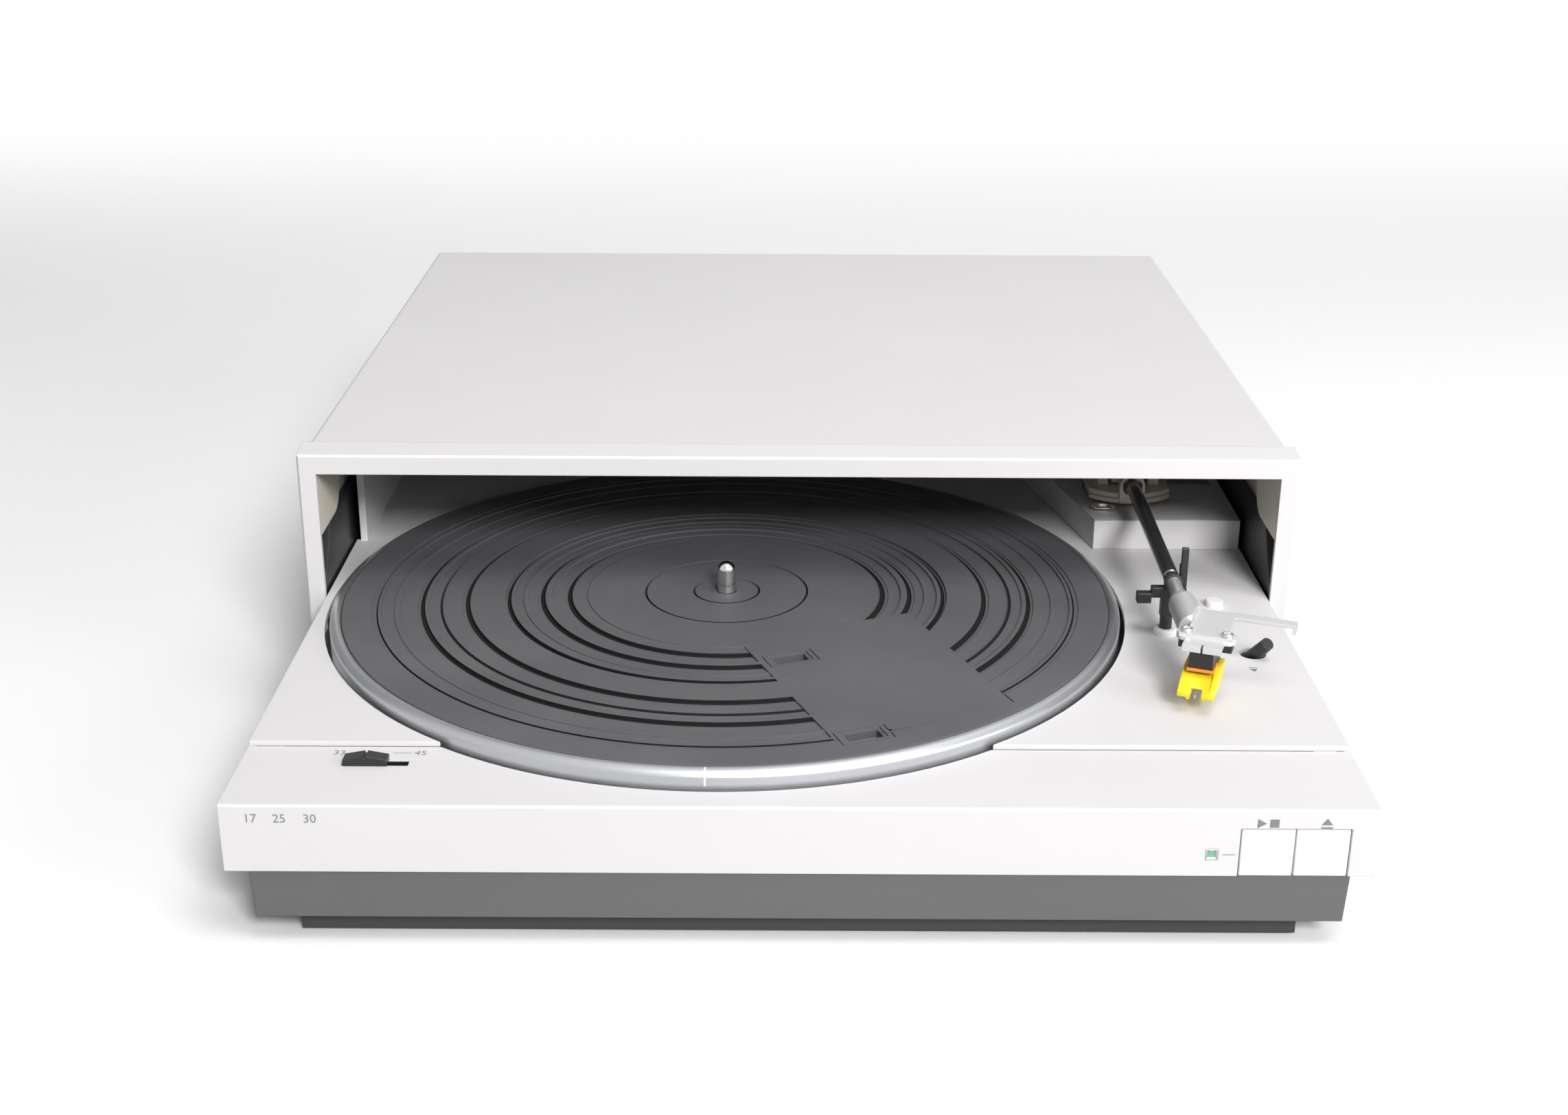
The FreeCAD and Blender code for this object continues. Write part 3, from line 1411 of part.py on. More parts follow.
def make_headshell():
    bottom = shell_top - shell_thickness
    plate = box(-shell_half_width, shell_half_width, -shell_front, shell_back, bottom, shell_top)
    step = box(-shell_half_width - 5, shell_half_width + 5, -shell_front - 1, -1.5, front_top, shell_top + 1)
    ears = [upright(side * screw_spacing / 2, 0, bottom, shell_top, ear_radius) for side in (-1, 1)]
    lip = box(-shell_half_width, shell_half_width, -shell_front, -shell_front + 1.2,
              front_top - shell_lip, bottom)
    notch = box(-shell_notch / 2, shell_notch / 2, -shell_front - 1, -shell_front + 3,
                bottom - shell_lip, shell_top + 1)
    holes = [upright(side * screw_spacing / 2, 0, bottom - 1, shell_top + 1, shell_shank_radius + seat_gap)
             for side in (-1, 1)]
    shell = plate.fuse(ears + [lip]).cut([step, notch] + holes)
    return on_head(shell.fuse(finger_lift()).removeSplitter())


def make_shell_screws():
    screws = []
    for side in (-1, 1):
        x = side * screw_spacing / 2
        shank = upright(x, 0, front_top - shell_shank, front_top, shell_shank_radius)
        head = upright(x, 0, shell_top, shell_top + shell_screw_head, shell_screw_radius)
        neck = upright(x, 0, front_top, shell_top, shell_shank_radius)
        slot = box(x - 3, x + 3, -0.3, 0.3, shell_top + shell_screw_head - 0.6, shell_top + 3)
        screws.append(shank.fuse([head, neck]).cut(slot).removeSplitter())
    return on_head(group(*screws))


def finger_lift():
    start = shell_half_width - 1
    end = shell_half_width + finger_length
    y0 = shell_back - finger_set_back
    bottom = shell_top - finger_thickness
    blade = box(start, end, y0, y0 + finger_width, bottom, shell_top)
    tip = box(end - finger_thickness, end, y0, y0 + finger_width, bottom - finger_tip_drop, bottom)
    return blade.fuse(tip)


def make_cartridge():
    top = shell_top - shell_thickness
    bottom = top - cartridge_drop
    body = box(-cartridge_half_width, cartridge_half_width, -cartridge_front, cartridge_back, bottom, top)
    plug = box(-cartridge_half_width, cartridge_half_width, -cartridge_plug_front, cartridge_back,
               top - cartridge_plug_drop, bottom)
    flange = box(-cartridge_flange_half, cartridge_flange_half, -cartridge_flange_depth / 2,
                 cartridge_flange_depth / 2, top - cartridge_flange, top)
    holes = [upright(side * screw_spacing / 2, 0, top - cartridge_flange - 1, top + 1,
                     shell_shank_radius + seat_gap) for side in (-1, 1)]
    return on_head(body.fuse([plug, flange]).cut(holes))


def make_stylus_holder():
    top = shell_top - holder_top_drop
    low = shell_top - holder_drop
    side_face = [(holder_back, low), (holder_back, top), (-holder_top_at, top),
                 (-holder_front, low + holder_nose), (-holder_front, low)]
    body = side_outline(side_face, -holder_half_width, holder_half_width)
    inner = cartridge_half_width + seat_gap
    plug_room = box(-inner, inner, -cartridge_plug_front - seat_gap, holder_back + 1, low - 1, top + 1)
    stylus_room = box(-holder_notch_half, holder_notch_half, -holder_front - 1, -cartridge_plug_front - 2,
                      low - 1, low + holder_notch_depth)
    return on_head(body.cut([plug_room, stylus_room])).cut(make_stylus())


def make_stylus():
    root = Vector(0, -stylus_start[0], shell_top - stylus_start[1])
    tip_z = shell_top - stylus_tip[1]
    end = Vector(0, -stylus_tip[0], tip_z + 0.9)
    rod = lying(root, end - root, (end - root).Length, stylus_radius)
    tip = Part.makeCone(0.12, stylus_radius, end.z - tip_z, Vector(0, end.y, tip_z))
    return on_head(rod.fuse(tip))


# Loading drive
def make_loading_gear():
    pinion = gear(pinion_teeth, tooth_module, pinion_bottom, pinion_bottom + pinion_thickness,
                  tooth_play, 0)
    boss = upright(0, 0, pinion_bottom, pulley_bottom, pitch_radius - 2 * tooth_module)
    wheel = upright(0, 0, pulley_bottom, pulley_bottom + pulley_thickness, pulley_radius)
    middle = pulley_bottom + pulley_thickness / 2
    groove = tube(0, 0, middle - belt_width / 2 - seat_gap, middle + belt_width / 2 + seat_gap,
                  pulley_radius + 1, pulley_radius - belt_depth)
    bore = upright(0, 0, pinion_bottom - 1, pulley_bottom + pulley_thickness + 1,
                   gear_shaft_radius + running_gap)
    wheel = pinion.fuse([boss, wheel]).cut([groove, bore])
    wheel.translate(Vector(loading_x, loading_y, 0))
    return wheel


def make_loading_pulley():
    middle = pulley_bottom + pulley_thickness / 2
    wheel = upright(0, 0, pulley_bottom, pulley_bottom + pulley_thickness, motor_pulley_radius)
    groove = tube(0, 0, middle - belt_width / 2 - seat_gap, middle + belt_width / 2 + seat_gap,
                  motor_pulley_radius + 1, motor_pulley_radius - belt_depth)
    shaft = upright(0, 0, mechanism_level - 3, pulley_bottom + 0.5, motor_shaft_radius)
    pulley = wheel.cut(groove).fuse(shaft)
    pulley.translate(Vector(motor_x, loading_y, 0))
    return pulley


def make_loading_belt():
    inner_big = pulley_radius - belt_depth + running_gap
    inner_small = motor_pulley_radius - belt_depth + running_gap
    middle = pulley_bottom + pulley_thickness / 2
    z0 = middle - belt_width / 2
    z1 = middle + belt_width / 2
    lean = math.asin((inner_big - inner_small) / motor_offset)

    def loop(grow):
        big = inner_big + grow
        small = inner_small + grow
        side_x = math.sin(lean)
        side_y = math.cos(lean)
        corners = [(loading_x - big * side_x, loading_y + big * side_y),
                   (motor_x - small * side_x, loading_y + small * side_y),
                   (motor_x - small * side_x, loading_y - small * side_y),
                   (loading_x - big * side_x, loading_y - big * side_y)]
        runs = outline([(x, y, z0) for x, y in corners], Vector(0, 0, z1 - z0))
        return runs.fuse([upright(loading_x, loading_y, z0, z1, big),
                          upright(motor_x, loading_y, z0, z1, small)])

    return loop(belt_thickness).cut(loop(0))


def make_loading_motor():
    top = mechanism_level
    body = upright(motor_x, loading_y, top - loading_motor_height, top, loading_motor_radius)
    bore = upright(motor_x, loading_y, top - motor_shaft_depth, top + 1, motor_shaft_radius + running_gap)
    return body.cut(bore)


def save(name, shape):
    """Write one piece, moved so that the origin is at the middle of the base."""
    moved = shape.copy()
    moved.translate(Vector(0, -overall_depth / 2, 0))
    solids = moved.Solids
    result = solids[0] if len(solids) == 1 else Part.makeCompound(solids)
    result.exportStep("parts/" + name + ".step")
    print(name, len(solids), "solid(s)", round(result.Volume / 1000, 2), "cm3", result.isValid())


def main():
    os.makedirs("parts", exist_ok=True)
    skirt = make_side_skirt()
    bracket = make_flap_bracket()
    runner = make_runner()
    pieces = {
        "front_frame": make_front_frame(),
        "top_cover": make_top_cover(),
        "bottom_plate": make_bottom_plate(),
        "rear_panel": make_rear_panel(),
        "side_skirts": group(skirt, mirrored(skirt)),
        "slide_tracks": group(make_slide_track(), make_left_track()),
        "drawer_rack": make_drawer_rack(),
        "flap_brackets": group(bracket, mirrored(bracket)),
        "dust_flap": make_dust_flap(),
        "housing_feet": make_housing_feet(),
        "cover_screws": make_cover_screws(),
        "mains_inlet": make_mains_inlet(),
        "signal_sockets": make_signal_sockets(),
        "front_panel": make_front_panel(),
        "deck_plate": make_deck_plate(),
        "tonearm_base": make_tonearm_base(),
        "height_screw": make_height_screw(),
        "plinth": make_plinth(),
        "drawer_tray": make_tray(),
        "drawer_skid": make_skid(),
        "drawer_runners": group(runner, mirrored(runner)),
        "mechanism_plate": make_mechanism_plate(),
        "circuit_board": make_circuit_board(),
        "transformer": make_transformer(),
        "size_sensors": make_size_sensors(),
        "drive_motors": group(make_loading_motor(), make_arm_motor()),
        "start_button": make_button(start_left),
        "open_button": make_button(open_left),
        "control_boards": group(make_button_board(), make_speed_switch()),
        "lamp_lens": make_lamp_lens(),
        "speed_slider": make_speed_slider(),
        "deck_fittings": group(make_stop_peg(), make_rest_ring()),
        "armrest": make_rest_post(),
        "armrest_clip": make_rest_clip(),
        "cue_lever": make_cue_lever(),
        "cue_bar": make_cue_bar(),
        "lift_ring": make_lift_ring(),
        "platter": make_platter(),
        "platter_mat": make_mat(),
        "spindle": make_spindle(),
        "spindle_bearing": make_spindle_bearing(),
        "stator": group(make_stator_board(), *make_stator_coils().Solids),
        "rotor_magnet": make_rotor_magnet(),
        "arm_yoke": make_arm_yoke(),
        "arm_wheel": make_arm_wheel(),
        "arm_sleeve": make_arm_sleeve(),
        "arm_pinion": make_arm_pinion(),
        "lift_pin": make_lift_pin(),
        "pivot_block": make_pivot_block(),
        "counterweight": make_counterweight(),
        "arm_tube": make_arm_tube(),
        "head_collar": make_head_collar(),
        "headshell": make_headshell(),
        "shell_screws": make_shell_screws(),
        "cartridge": make_cartridge(),
        "stylus_holder": make_stylus_holder(),
        "stylus": make_stylus(),
        "loading_gear": make_loading_gear(),
        "loading_pulley": make_loading_pulley(),
        "loading_belt": make_loading_belt(),
    }
    for name, shape in pieces.items():
        save(name, shape)


main()
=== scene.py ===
import json
import math

import bmesh
import bpy
from mathutils import Matrix, Vector


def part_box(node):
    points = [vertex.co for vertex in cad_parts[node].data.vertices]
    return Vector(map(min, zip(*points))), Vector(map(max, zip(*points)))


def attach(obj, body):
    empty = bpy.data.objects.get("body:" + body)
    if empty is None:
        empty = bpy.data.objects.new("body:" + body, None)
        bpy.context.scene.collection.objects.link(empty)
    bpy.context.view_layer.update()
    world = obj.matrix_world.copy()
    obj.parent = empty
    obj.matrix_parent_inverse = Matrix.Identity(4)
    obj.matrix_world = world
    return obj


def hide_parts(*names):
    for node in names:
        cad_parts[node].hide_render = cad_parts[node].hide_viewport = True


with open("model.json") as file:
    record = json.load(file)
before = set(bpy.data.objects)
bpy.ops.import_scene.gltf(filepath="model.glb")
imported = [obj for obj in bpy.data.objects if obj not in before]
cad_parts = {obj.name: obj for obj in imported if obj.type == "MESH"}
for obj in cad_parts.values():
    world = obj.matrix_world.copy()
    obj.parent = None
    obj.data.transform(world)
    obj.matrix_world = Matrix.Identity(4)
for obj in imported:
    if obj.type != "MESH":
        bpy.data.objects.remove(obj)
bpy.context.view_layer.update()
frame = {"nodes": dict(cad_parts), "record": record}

# The turntable's own measures, in millimetres from the drawer's front face and the table
drawer_to_middle = 253.6
panel_top = 51.4
deck_top = 53.1
spindle_x = -28.1
spindle_y = 166.2
platter_centre = (spindle_x, spindle_y)
platter_radius = 153.5
rim_top = 57.3
rim_inner = 149.1
mat_seat = 54.2
mat_top = 57.6
mat_radius = 149.1
window_radii = (68.6, 135.5)
window_angle = -68.5
flat_middle = (54.9, -75.7)
flat_size = (88.0, 70.0)
flat_angle = -67.5
lamp_middle = (133.15, 34.9)
button_middles = (150.5, 169.4)


def spot(x, y, z):
    """A point of the turntable, in metres in the part's frame."""
    return Vector((x, y - drawer_to_middle, z)) * 0.001


# Node trees, for shaders and for geometry
def tree_node(tree, kind, links=(), **settings):
    """A node with its settings, and (input, value or output) pairs set or linked."""
    node = tree.nodes.new(kind)
    for key, value in settings.items():
        setattr(node, key, value)
    for socket, value in links:
        if isinstance(value, bpy.types.NodeSocket):
            tree.links.new(value, node.inputs[socket])
        else:
            node.inputs[socket].default_value = value
    return node


def math_node(tree, operation, first, second=None):
    values = [(0, first)] if second is None else [(0, first), (1, second)]
    return tree_node(tree, "ShaderNodeMath", values, operation=operation).outputs[0]


def product(tree, first, second):
    return math_node(tree, "MULTIPLY", first, second)


def separated(tree, vector):
    """The X, Y and Z outputs of a vector."""
    return tree_node(tree, "ShaderNodeSeparateXYZ", [(0, vector)]).outputs


def scaled_noise(tree, place, scale, detail=3.0):
    values = [("Vector", place), ("Scale", scale), ("Detail", detail)]
    return tree_node(tree, "ShaderNodeTexNoise", values).outputs["Fac"]


# Shared shader effects
FLOAT, VECTOR = "NodeSocketFloat", "NodeSocketVector"
grain_inputs = [("Place", VECTOR, (0, 0, 0)), ("Scale", FLOAT, 2500.0)]
grain_outputs = [("Height", FLOAT), ("Tone", FLOAT)]
brushing = (0.02, 1.0, 1.0)
edge_rounding = 0.0004
wear_strength = 12.0
speck_level = 0.74
speck_weight = 0.5


def shader_group(name, inputs, outputs):
    group = bpy.data.node_groups.new(name, "ShaderNodeTree")
    for label, kind, value in inputs:
        socket = group.interface.new_socket(label, in_out="INPUT", socket_type=kind)
        socket.default_value = value
    for label, kind in outputs:
        group.interface.new_socket(label, in_out="OUTPUT", socket_type=kind)
    return group, group.nodes.new("NodeGroupInput"), group.nodes.new("NodeGroupOutput")


def with_grain(group, result, fine, patch, share):
    """Ends a grain group: relief from the fine grain, and tone from it and broad patches by a share."""
    tone = math_node(group, "ADD", product(group, fine, share), product(group, patch, 1 - share))
    group.links.new(fine, result.inputs["Height"])
    group.links.new(tone, result.inputs["Tone"])
    return group


def even_grain():
    """Fine speckle of paint or moulded plastic, with broad soft patches."""
    group, source, result = shader_group("Even grain", grain_inputs, grain_outputs)
    place = source.outputs["Place"]
    fine = scaled_noise(group, place, source.outputs["Scale"], 2.0)
    return with_grain(group, result, fine, scaled_noise(group, place, 14.0, 4.0), 0.45)


def brushed_grain():
    """Straight fine lines along X, as on rolled or brushed metal."""
    group, source, result = shader_group("Brushed grain", grain_inputs, grain_outputs)
    place = source.outputs["Place"]
    stretch = tree_node(group, "ShaderNodeVectorMath", [(0, place), (1, brushing)], operation="MULTIPLY")
    lines = scaled_noise(group, stretch.outputs[0], source.outputs["Scale"])
    return with_grain(group, result, lines, scaled_noise(group, place, 20.0), 0.7)


def turned_grain():
    """Circular lines about a centre, as a lathe leaves them."""
    inputs = grain_inputs + [("Centre", VECTOR, (0, 0, 0))]
    group, source, result = shader_group("Turned grain", inputs, grain_outputs)
    place = source.outputs["Place"]
    offset = tree_node(group, "ShaderNodeVectorMath", [(0, place), (1, source.outputs["Centre"])],
                       operation="SUBTRACT")
    x, y, z = separated(group, offset.outputs[0])
    across = math_node(group, "ADD", product(group, x, x), product(group, y, y))
    joined = tree_node(group, "ShaderNodeCombineXYZ", [(0, math_node(group, "SQRT", across)), (1, z)])
    lines = scaled_noise(group, joined.outputs[0], source.outputs["Scale"])
    return with_grain(group, result, lines, scaled_noise(group, place, 30.0), 0.7)


def edge_wear():
    """A mask along outer edges, broken up by noise, and a normal that rounds them."""
    inputs = [("Place", VECTOR, (0, 0, 0)), ("Amount", FLOAT, 0.3), ("Rounding", FLOAT, edge_rounding)]
    group, source, result = shader_group("Edge wear", inputs, [("Mask", FLOAT), ("Normal", VECTOR)])
    bevel = tree_node(group, "ShaderNodeBevel", [("Radius", source.outputs["Rounding"])], samples=4)
    rounded = bevel.outputs[0]
    facing = tree_node(group, "ShaderNodeNewGeometry").outputs["Normal"]
    alike = tree_node(group, "ShaderNodeVectorMath", [(0, rounded), (1, facing)], operation="DOT_PRODUCT")
    edge = math_node(group, "SUBTRACT", 1.0, alike.outputs["Value"])
    rubbed = math_node(group, "POWER", scaled_noise(group, source.outputs["Place"], 160.0, 4.0), 2.0)
    strength = product(group, source.outputs["Amount"], wear_strength)
    mask = product(group, product(group, edge, rubbed), strength)
    clamped = tree_node(group, "ShaderNodeClamp", [(0, mask)])
    group.links.new(clamped.outputs[0], result.inputs["Mask"])
    group.links.new(rounded, result.inputs["Normal"])
    return group


def settled_dust():
    """A thin uneven film on faces that look up."""
    inputs = [("Place", VECTOR, (0, 0, 0)), ("Amount", FLOAT, 0.1)]
    group, source, result = shader_group("Settled dust", inputs, [("Mask", FLOAT)])
    place = source.outputs["Place"]
    facing = tree_node(group, "ShaderNodeNewGeometry").outputs["Normal"]
    up = math_node(group, "MAXIMUM", separated(group, facing)[2], 0.0)
    specks = math_node(group, "GREATER_THAN", scaled_noise(group, place, 700.0, 2.0), speck_level)
    film = math_node(group, "ADD", math_node(group, "POWER", scaled_noise(group, place, 22.0, 6.0), 2.0),
                     product(group, specks, speck_weight))
    mask = product(group, product(group, up, film), source.outputs["Amount"])
    group.links.new(mask, result.inputs["Mask"])
    return group


grains = {"even": even_grain(), "brushed": brushed_grain(), "turned": turned_grain()}
wear_group = edge_wear()
dust_group = settled_dust()

# Finishes
relief_height = 0.0002
dust_colour = (0.62, 0.60, 0.57)
dust_dulling = 0.4
print_rounding = 0.00001


def mix_colour(tree, factor, first, second):
    """Two colours mixed, each given as an output or as red, green and blue."""
    ends = [(*value, 1.0) if isinstance(value, tuple) else value for value in (first, second)]
    values = [(0, factor), (6, ends[0]), (7, ends[1])]
    return tree_node(tree, "ShaderNodeMix", values, data_type="RGBA").outputs[2]


finishes = {}


def add_finish(slot, colour, roughness, metallic=0.0, grain="even", scale=2500.0, depth=0.05, tone=0.06,
               wear=0.0, worn=(0.8, 0.8, 0.8), dust=0.0, spread=0.08, centre=None, specular=0.5, coat=0.0,
               rounding=edge_rounding, name=None):
    """A slot's procedural finish: grain in colour, gloss and relief, rubbed edges and a film of dust."""
    material = bpy.data.materials.new(name or slot.replace("_", " "))
    material.use_nodes = True
    tree = material.node_tree
    shader = tree.nodes["Principled BSDF"]
    place = tree_node(tree, "ShaderNodeTexCoord").outputs["Object"]

    def grouped(group, **values):
        return tree_node(tree, "ShaderNodeGroup", [("Place", place), *values.items()], node_tree=group)

    texture = grouped(grains[grain], Scale=scale, **({"Centre": centre} if centre else {}))
    edges = grouped(wear_group, Amount=wear, Rounding=rounding)
    dusty = grouped(dust_group, Amount=dust)
    darker = tuple(c * (1 - tone) for c in colour)
    lighter = tuple(min(1.0, c * (1 + tone)) for c in colour)
    base = mix_colour(tree, texture.outputs["Tone"], darker, lighter)
    base = mix_colour(tree, edges.outputs["Mask"], base, worn)
    base = mix_colour(tree, dusty.outputs["Mask"], base, dust_colour)
    varied = product(tree, texture.outputs["Tone"], spread)
    dulled = product(tree, dusty.outputs["Mask"], dust_dulling)
    gloss = math_node(tree, "ADD", math_node(tree, "ADD", roughness - spread / 2, varied), dulled)
    bump = tree_node(tree, "ShaderNodeBump", [
        ("Strength", depth), ("Distance", relief_height), ("Height", texture.outputs["Height"]),
        ("Normal", edges.outputs["Normal"])])
    for label, value in (("Base Color", base), ("Roughness", gloss), ("Normal", bump.outputs[0])):
        tree.links.new(value, shader.inputs[label])
    for label, value in (("Metallic", metallic), ("Specular IOR Level", specular), ("Coat Weight", coat)):
        shader.inputs[label].default_value = value
    finishes[slot] = material


at_spindle = tuple(spot(spindle_x, spindle_y, 0))
rubbed_grey = (0.2, 0.2, 0.2)
add_finish("champagne_paint", (0.652, 0.638, 0.646), 0.60, scale=3200, depth=0.10, tone=0.05, wear=0.25,
           dust=0.05, specular=0.16)
add_finish("plinth_paint", (0.125, 0.122, 0.126), 0.42, 0.1, scale=2600, depth=0.12, tone=0.08, wear=0.2,
           worn=(0.4, 0.38, 0.36))
add_finish("base_sheet", (0.13, 0.13, 0.13), 0.45, 0.3, scale=2000, depth=0.1, wear=0.3)
add_finish("bare_sheet", (0.55, 0.55, 0.54), 0.35, 0.8, grain="brushed", scale=1800, depth=0.1)
add_finish("black_moulding", (0.016, 0.016, 0.017), 0.36, scale=1800, wear=0.15, worn=rubbed_grey,
           dust=0.08)
add_finish("dark_plastic", (0.045, 0.045, 0.045), 0.55, scale=1500, depth=0.2, wear=0.2, worn=rubbed_grey,
           dust=0.06)
add_finish("cream_plastic", (0.76, 0.72, 0.61), 0.42, scale=1800, depth=0.08, tone=0.08, wear=0.1)
add_finish("smoked_plastic", (0.06, 0.055, 0.05), 0.2, depth=0.03, wear=0.1)
add_finish("foot_rubber", (0.035, 0.035, 0.035), 0.75, scale=1400, depth=0.3, dust=0.1)
add_finish("plated_screw", (0.72, 0.72, 0.71), 0.22, 1.0, wear=0.3)
add_finish("steel", (0.74, 0.74, 0.74), 0.14, 1.0, scale=2200, depth=0.02, tone=0.04)
add_finish("cast_aluminium", (0.57, 0.582, 0.602), 0.34, 0.9, grain="turned", scale=1600, depth=0.12,
           tone=0.08, centre=at_spindle, name="turned aluminium")
add_finish("mat_rubber", (0.088, 0.085, 0.093), 0.62, scale=1500, depth=0.25, tone=0.14, dust=0.10,
           spread=0.12, specular=0.35)
add_finish("white_plastic", (0.82, 0.81, 0.79), 0.35, scale=2200, wear=0.05)
add_finish("lamp_green", (0.16, 0.42, 0.26), 0.15, scale=900, depth=0.1, tone=0.2, coat=0.5,
           name="green lens")
add_finish("board_green", (0.08, 0.22, 0.12), 0.4, scale=900, depth=0.2, name="circuit board")
add_finish("copper_coils", (0.62, 0.32, 0.17), 0.32, 0.9, scale=1200, depth=0.3)
add_finish("magnet", (0.10, 0.10, 0.105), 0.55, 0.3, scale=1000, depth=0.2)
add_finish("arm_gloss", (0.30, 0.30, 0.32), 0.24, 0.95, scale=1500, depth=0.03, tone=0.1, dust=0.05)
add_finish("collar_silver", (0.62, 0.62, 0.62), 0.42, 0.55, scale=2600, depth=0.06, wear=0.1)
add_finish("shell_silver", (0.70, 0.70, 0.70), 0.40, 0.5, scale=2600, depth=0.08, wear=0.15)
add_finish("yellow_plastic", (0.86, 0.66, 0.02), 0.3, scale=1500, tone=0.05)
add_finish("gear_plastic", (0.80, 0.80, 0.76), 0.4, scale=1800, depth=0.06)
add_finish("belt_rubber", (0.03, 0.03, 0.03), 0.7, scale=1800, depth=0.2)
add_finish("print", (0.20, 0.20, 0.205), 0.5, scale=3000, depth=0.02, tone=0.1, rounding=print_rounding,
           name="printed marks")
# Painted shade: a near black coat for the mat's groove walls and floors, where shade falls
add_finish("mat_groove_shade", (0.012, 0.012, 0.013), 0.8, scale=1500, depth=0.2, specular=0.2)
add_finish("white_mark", (0.85, 0.85, 0.85), 0.5, scale=3000, depth=0.02, rounding=print_rounding)
add_finish("orange_plastic", (0.85, 0.26, 0.02), 0.2, scale=1500, coat=0.4)
add_finish("satin_steel", (0.86, 0.86, 0.87), 0.3, 0.85, scale=2200, depth=0.03)
add_finish("arm_rubber", (0.02, 0.02, 0.02), 0.6, scale=1500, depth=0.2)
for part in frame["record"]["subparts"]:
    node = frame["nodes"][part["node"]]
    node.data.materials.clear()
    node.data.materials.append(finishes[part["material_slot"]])


# Mesh helpers
def linked(name, data):
    """A new object in the scene."""
    item = bpy.data.objects.new(name, data)
    bpy.context.scene.collection.objects.link(item)
    return item


def evaluated(holder):
    """What an object has become, as a plain mesh; the object itself goes."""
    bpy.context.view_layer.update()
    mesh = bpy.data.meshes.new_from_object(holder.evaluated_get(bpy.context.evaluated_depsgraph_get()))
    bpy.data.objects.remove(holder)
    return mesh


def new_piece(name, mesh, body, slot, stands_for=(), coated=False):
    """Links a mesh as a piece on a body, in its slot's finish unless it is coated already."""
    piece = linked(name, mesh)
    if not coated:
        mesh.materials.clear()
        mesh.materials.append(finishes[slot])
    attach(piece, body)
    if stands_for:
        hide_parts(*stands_for)
    return piece


def taken(bm, name):
    mesh = bpy.data.meshes.new(name)
    bm.to_mesh(mesh)
    bm.free()
    return mesh


def facing_out(bm, name):
    """A finished mesh with every face turned outwards."""
    bmesh.ops.recalc_face_normals(bm, faces=bm.faces)
    return taken(bm, name)


def add_slab(bm, outline, lift):
    """Adds a closed slab: an outline of points, and the same outline lifted."""
    face = bm.faces.new([bm.verts.new(point) for point in outline])
    raised = bmesh.ops.extrude_face_region(bm, geom=[face])["geom"]
    bmesh.ops.translate(bm, vec=lift, verts=[item for item in raised if isinstance(item, bmesh.types.BMVert)])


def modified(mesh, add_modifiers):
    """The mesh after modifiers are added by a function and applied."""
    holder = linked("holder", mesh)
    add_modifiers(holder)
    return evaluated(holder)


def shade(mesh, angle=35.0):
    """Smooth faces, with edges sharper than the angle kept crisp."""
    mesh.shade_smooth()
    bm = bmesh.new()
    bm.from_mesh(mesh)
    for edge in bm.edges:
        edge.smooth = len(edge.link_faces) == 2 and edge.calc_face_angle(0.0) < math.radians(angle)
    bm.to_mesh(mesh)
    bm.free()
    return mesh


def flat_kept(mesh):
    """Normals weighted by face, so that flats stay flat beside their rounded edges."""
    def weighting(holder):
        weighted = holder.modifiers.new("weighting", "WEIGHTED_NORMAL")
        weighted.weight = 100
        weighted.keep_sharp = True
    return modified(mesh, weighting)


merged_within = 2e-6
flat_within = math.radians(0.6)
sharp_from = math.radians(32)
shortest_edge = 3.2
rounding_steps = 2


def softened(node, radius, body, slot, front_set_back=0.0):
    """A CAD node's shape with its long sharp edges rounded, standing for that node."""
    bm = bmesh.new()
    bm.from_mesh(frame["nodes"][node].data)
    bmesh.ops.remove_doubles(bm, verts=bm.verts, dist=merged_within)
    bmesh.ops.dissolve_limit(bm, angle_limit=flat_within, verts=bm.verts, edges=bm.edges)
    layer = bm.edges.layers.float.new("bevel_weight_edge")
    for edge in bm.edges:
        sharp = len(edge.link_faces) == 2 and edge.calc_face_angle(0.0) > sharp_from
        edge[layer] = 1.0 if sharp and edge.calc_length() > shortest_edge * radius * 0.001 else 0.0
    if front_set_back:
        lowest = min(v.co.y for v in bm.verts)
        for vert in bm.verts:
            if vert.co.y < lowest + 1e-5:
                vert.co.y += front_set_back * 0.001

    def rounding(holder):
        bevel = holder.modifiers.new("rounding", "BEVEL")
        bevel.limit_method = "WEIGHT"
        bevel.width = radius * 0.001
        bevel.segments = rounding_steps
        bevel.use_clamp_overlap = False

    mesh = modified(taken(bm, node), rounding)
    return new_piece("soft_" + node, flat_kept(shade(mesh, 50.0)), body, slot, (node,))


def run_tree(mesh, tree, values):
    """The mesh that a geometry tree makes from a starting mesh and values for its named inputs."""
    def adding(holder):
        modifier = holder.modifiers.new(tree.name, "NODES")
        modifier.node_group = tree
        for item in tree.interface.items_tree:
            if item.item_type == "SOCKET" and item.in_out == "INPUT" and item.name in values:
                modifier[item.identifier] = values[item.name]
    return modified(mesh, adding)


def geometry_tree(name, inputs, output):
    tree = bpy.data.node_groups.new(name, "GeometryNodeTree")
    for label, kind in inputs:
        tree.interface.new_socket(label, in_out="INPUT", socket_type="NodeSocket" + kind)
    tree.interface.new_socket(output, in_out="OUTPUT", socket_type="NodeSocketGeometry")
    return tree, tree.nodes.new("NodeGroupInput"), tree.nodes.new("NodeGroupOutput")


coat_labels = ("Finish", "Second finish", "Third finish")


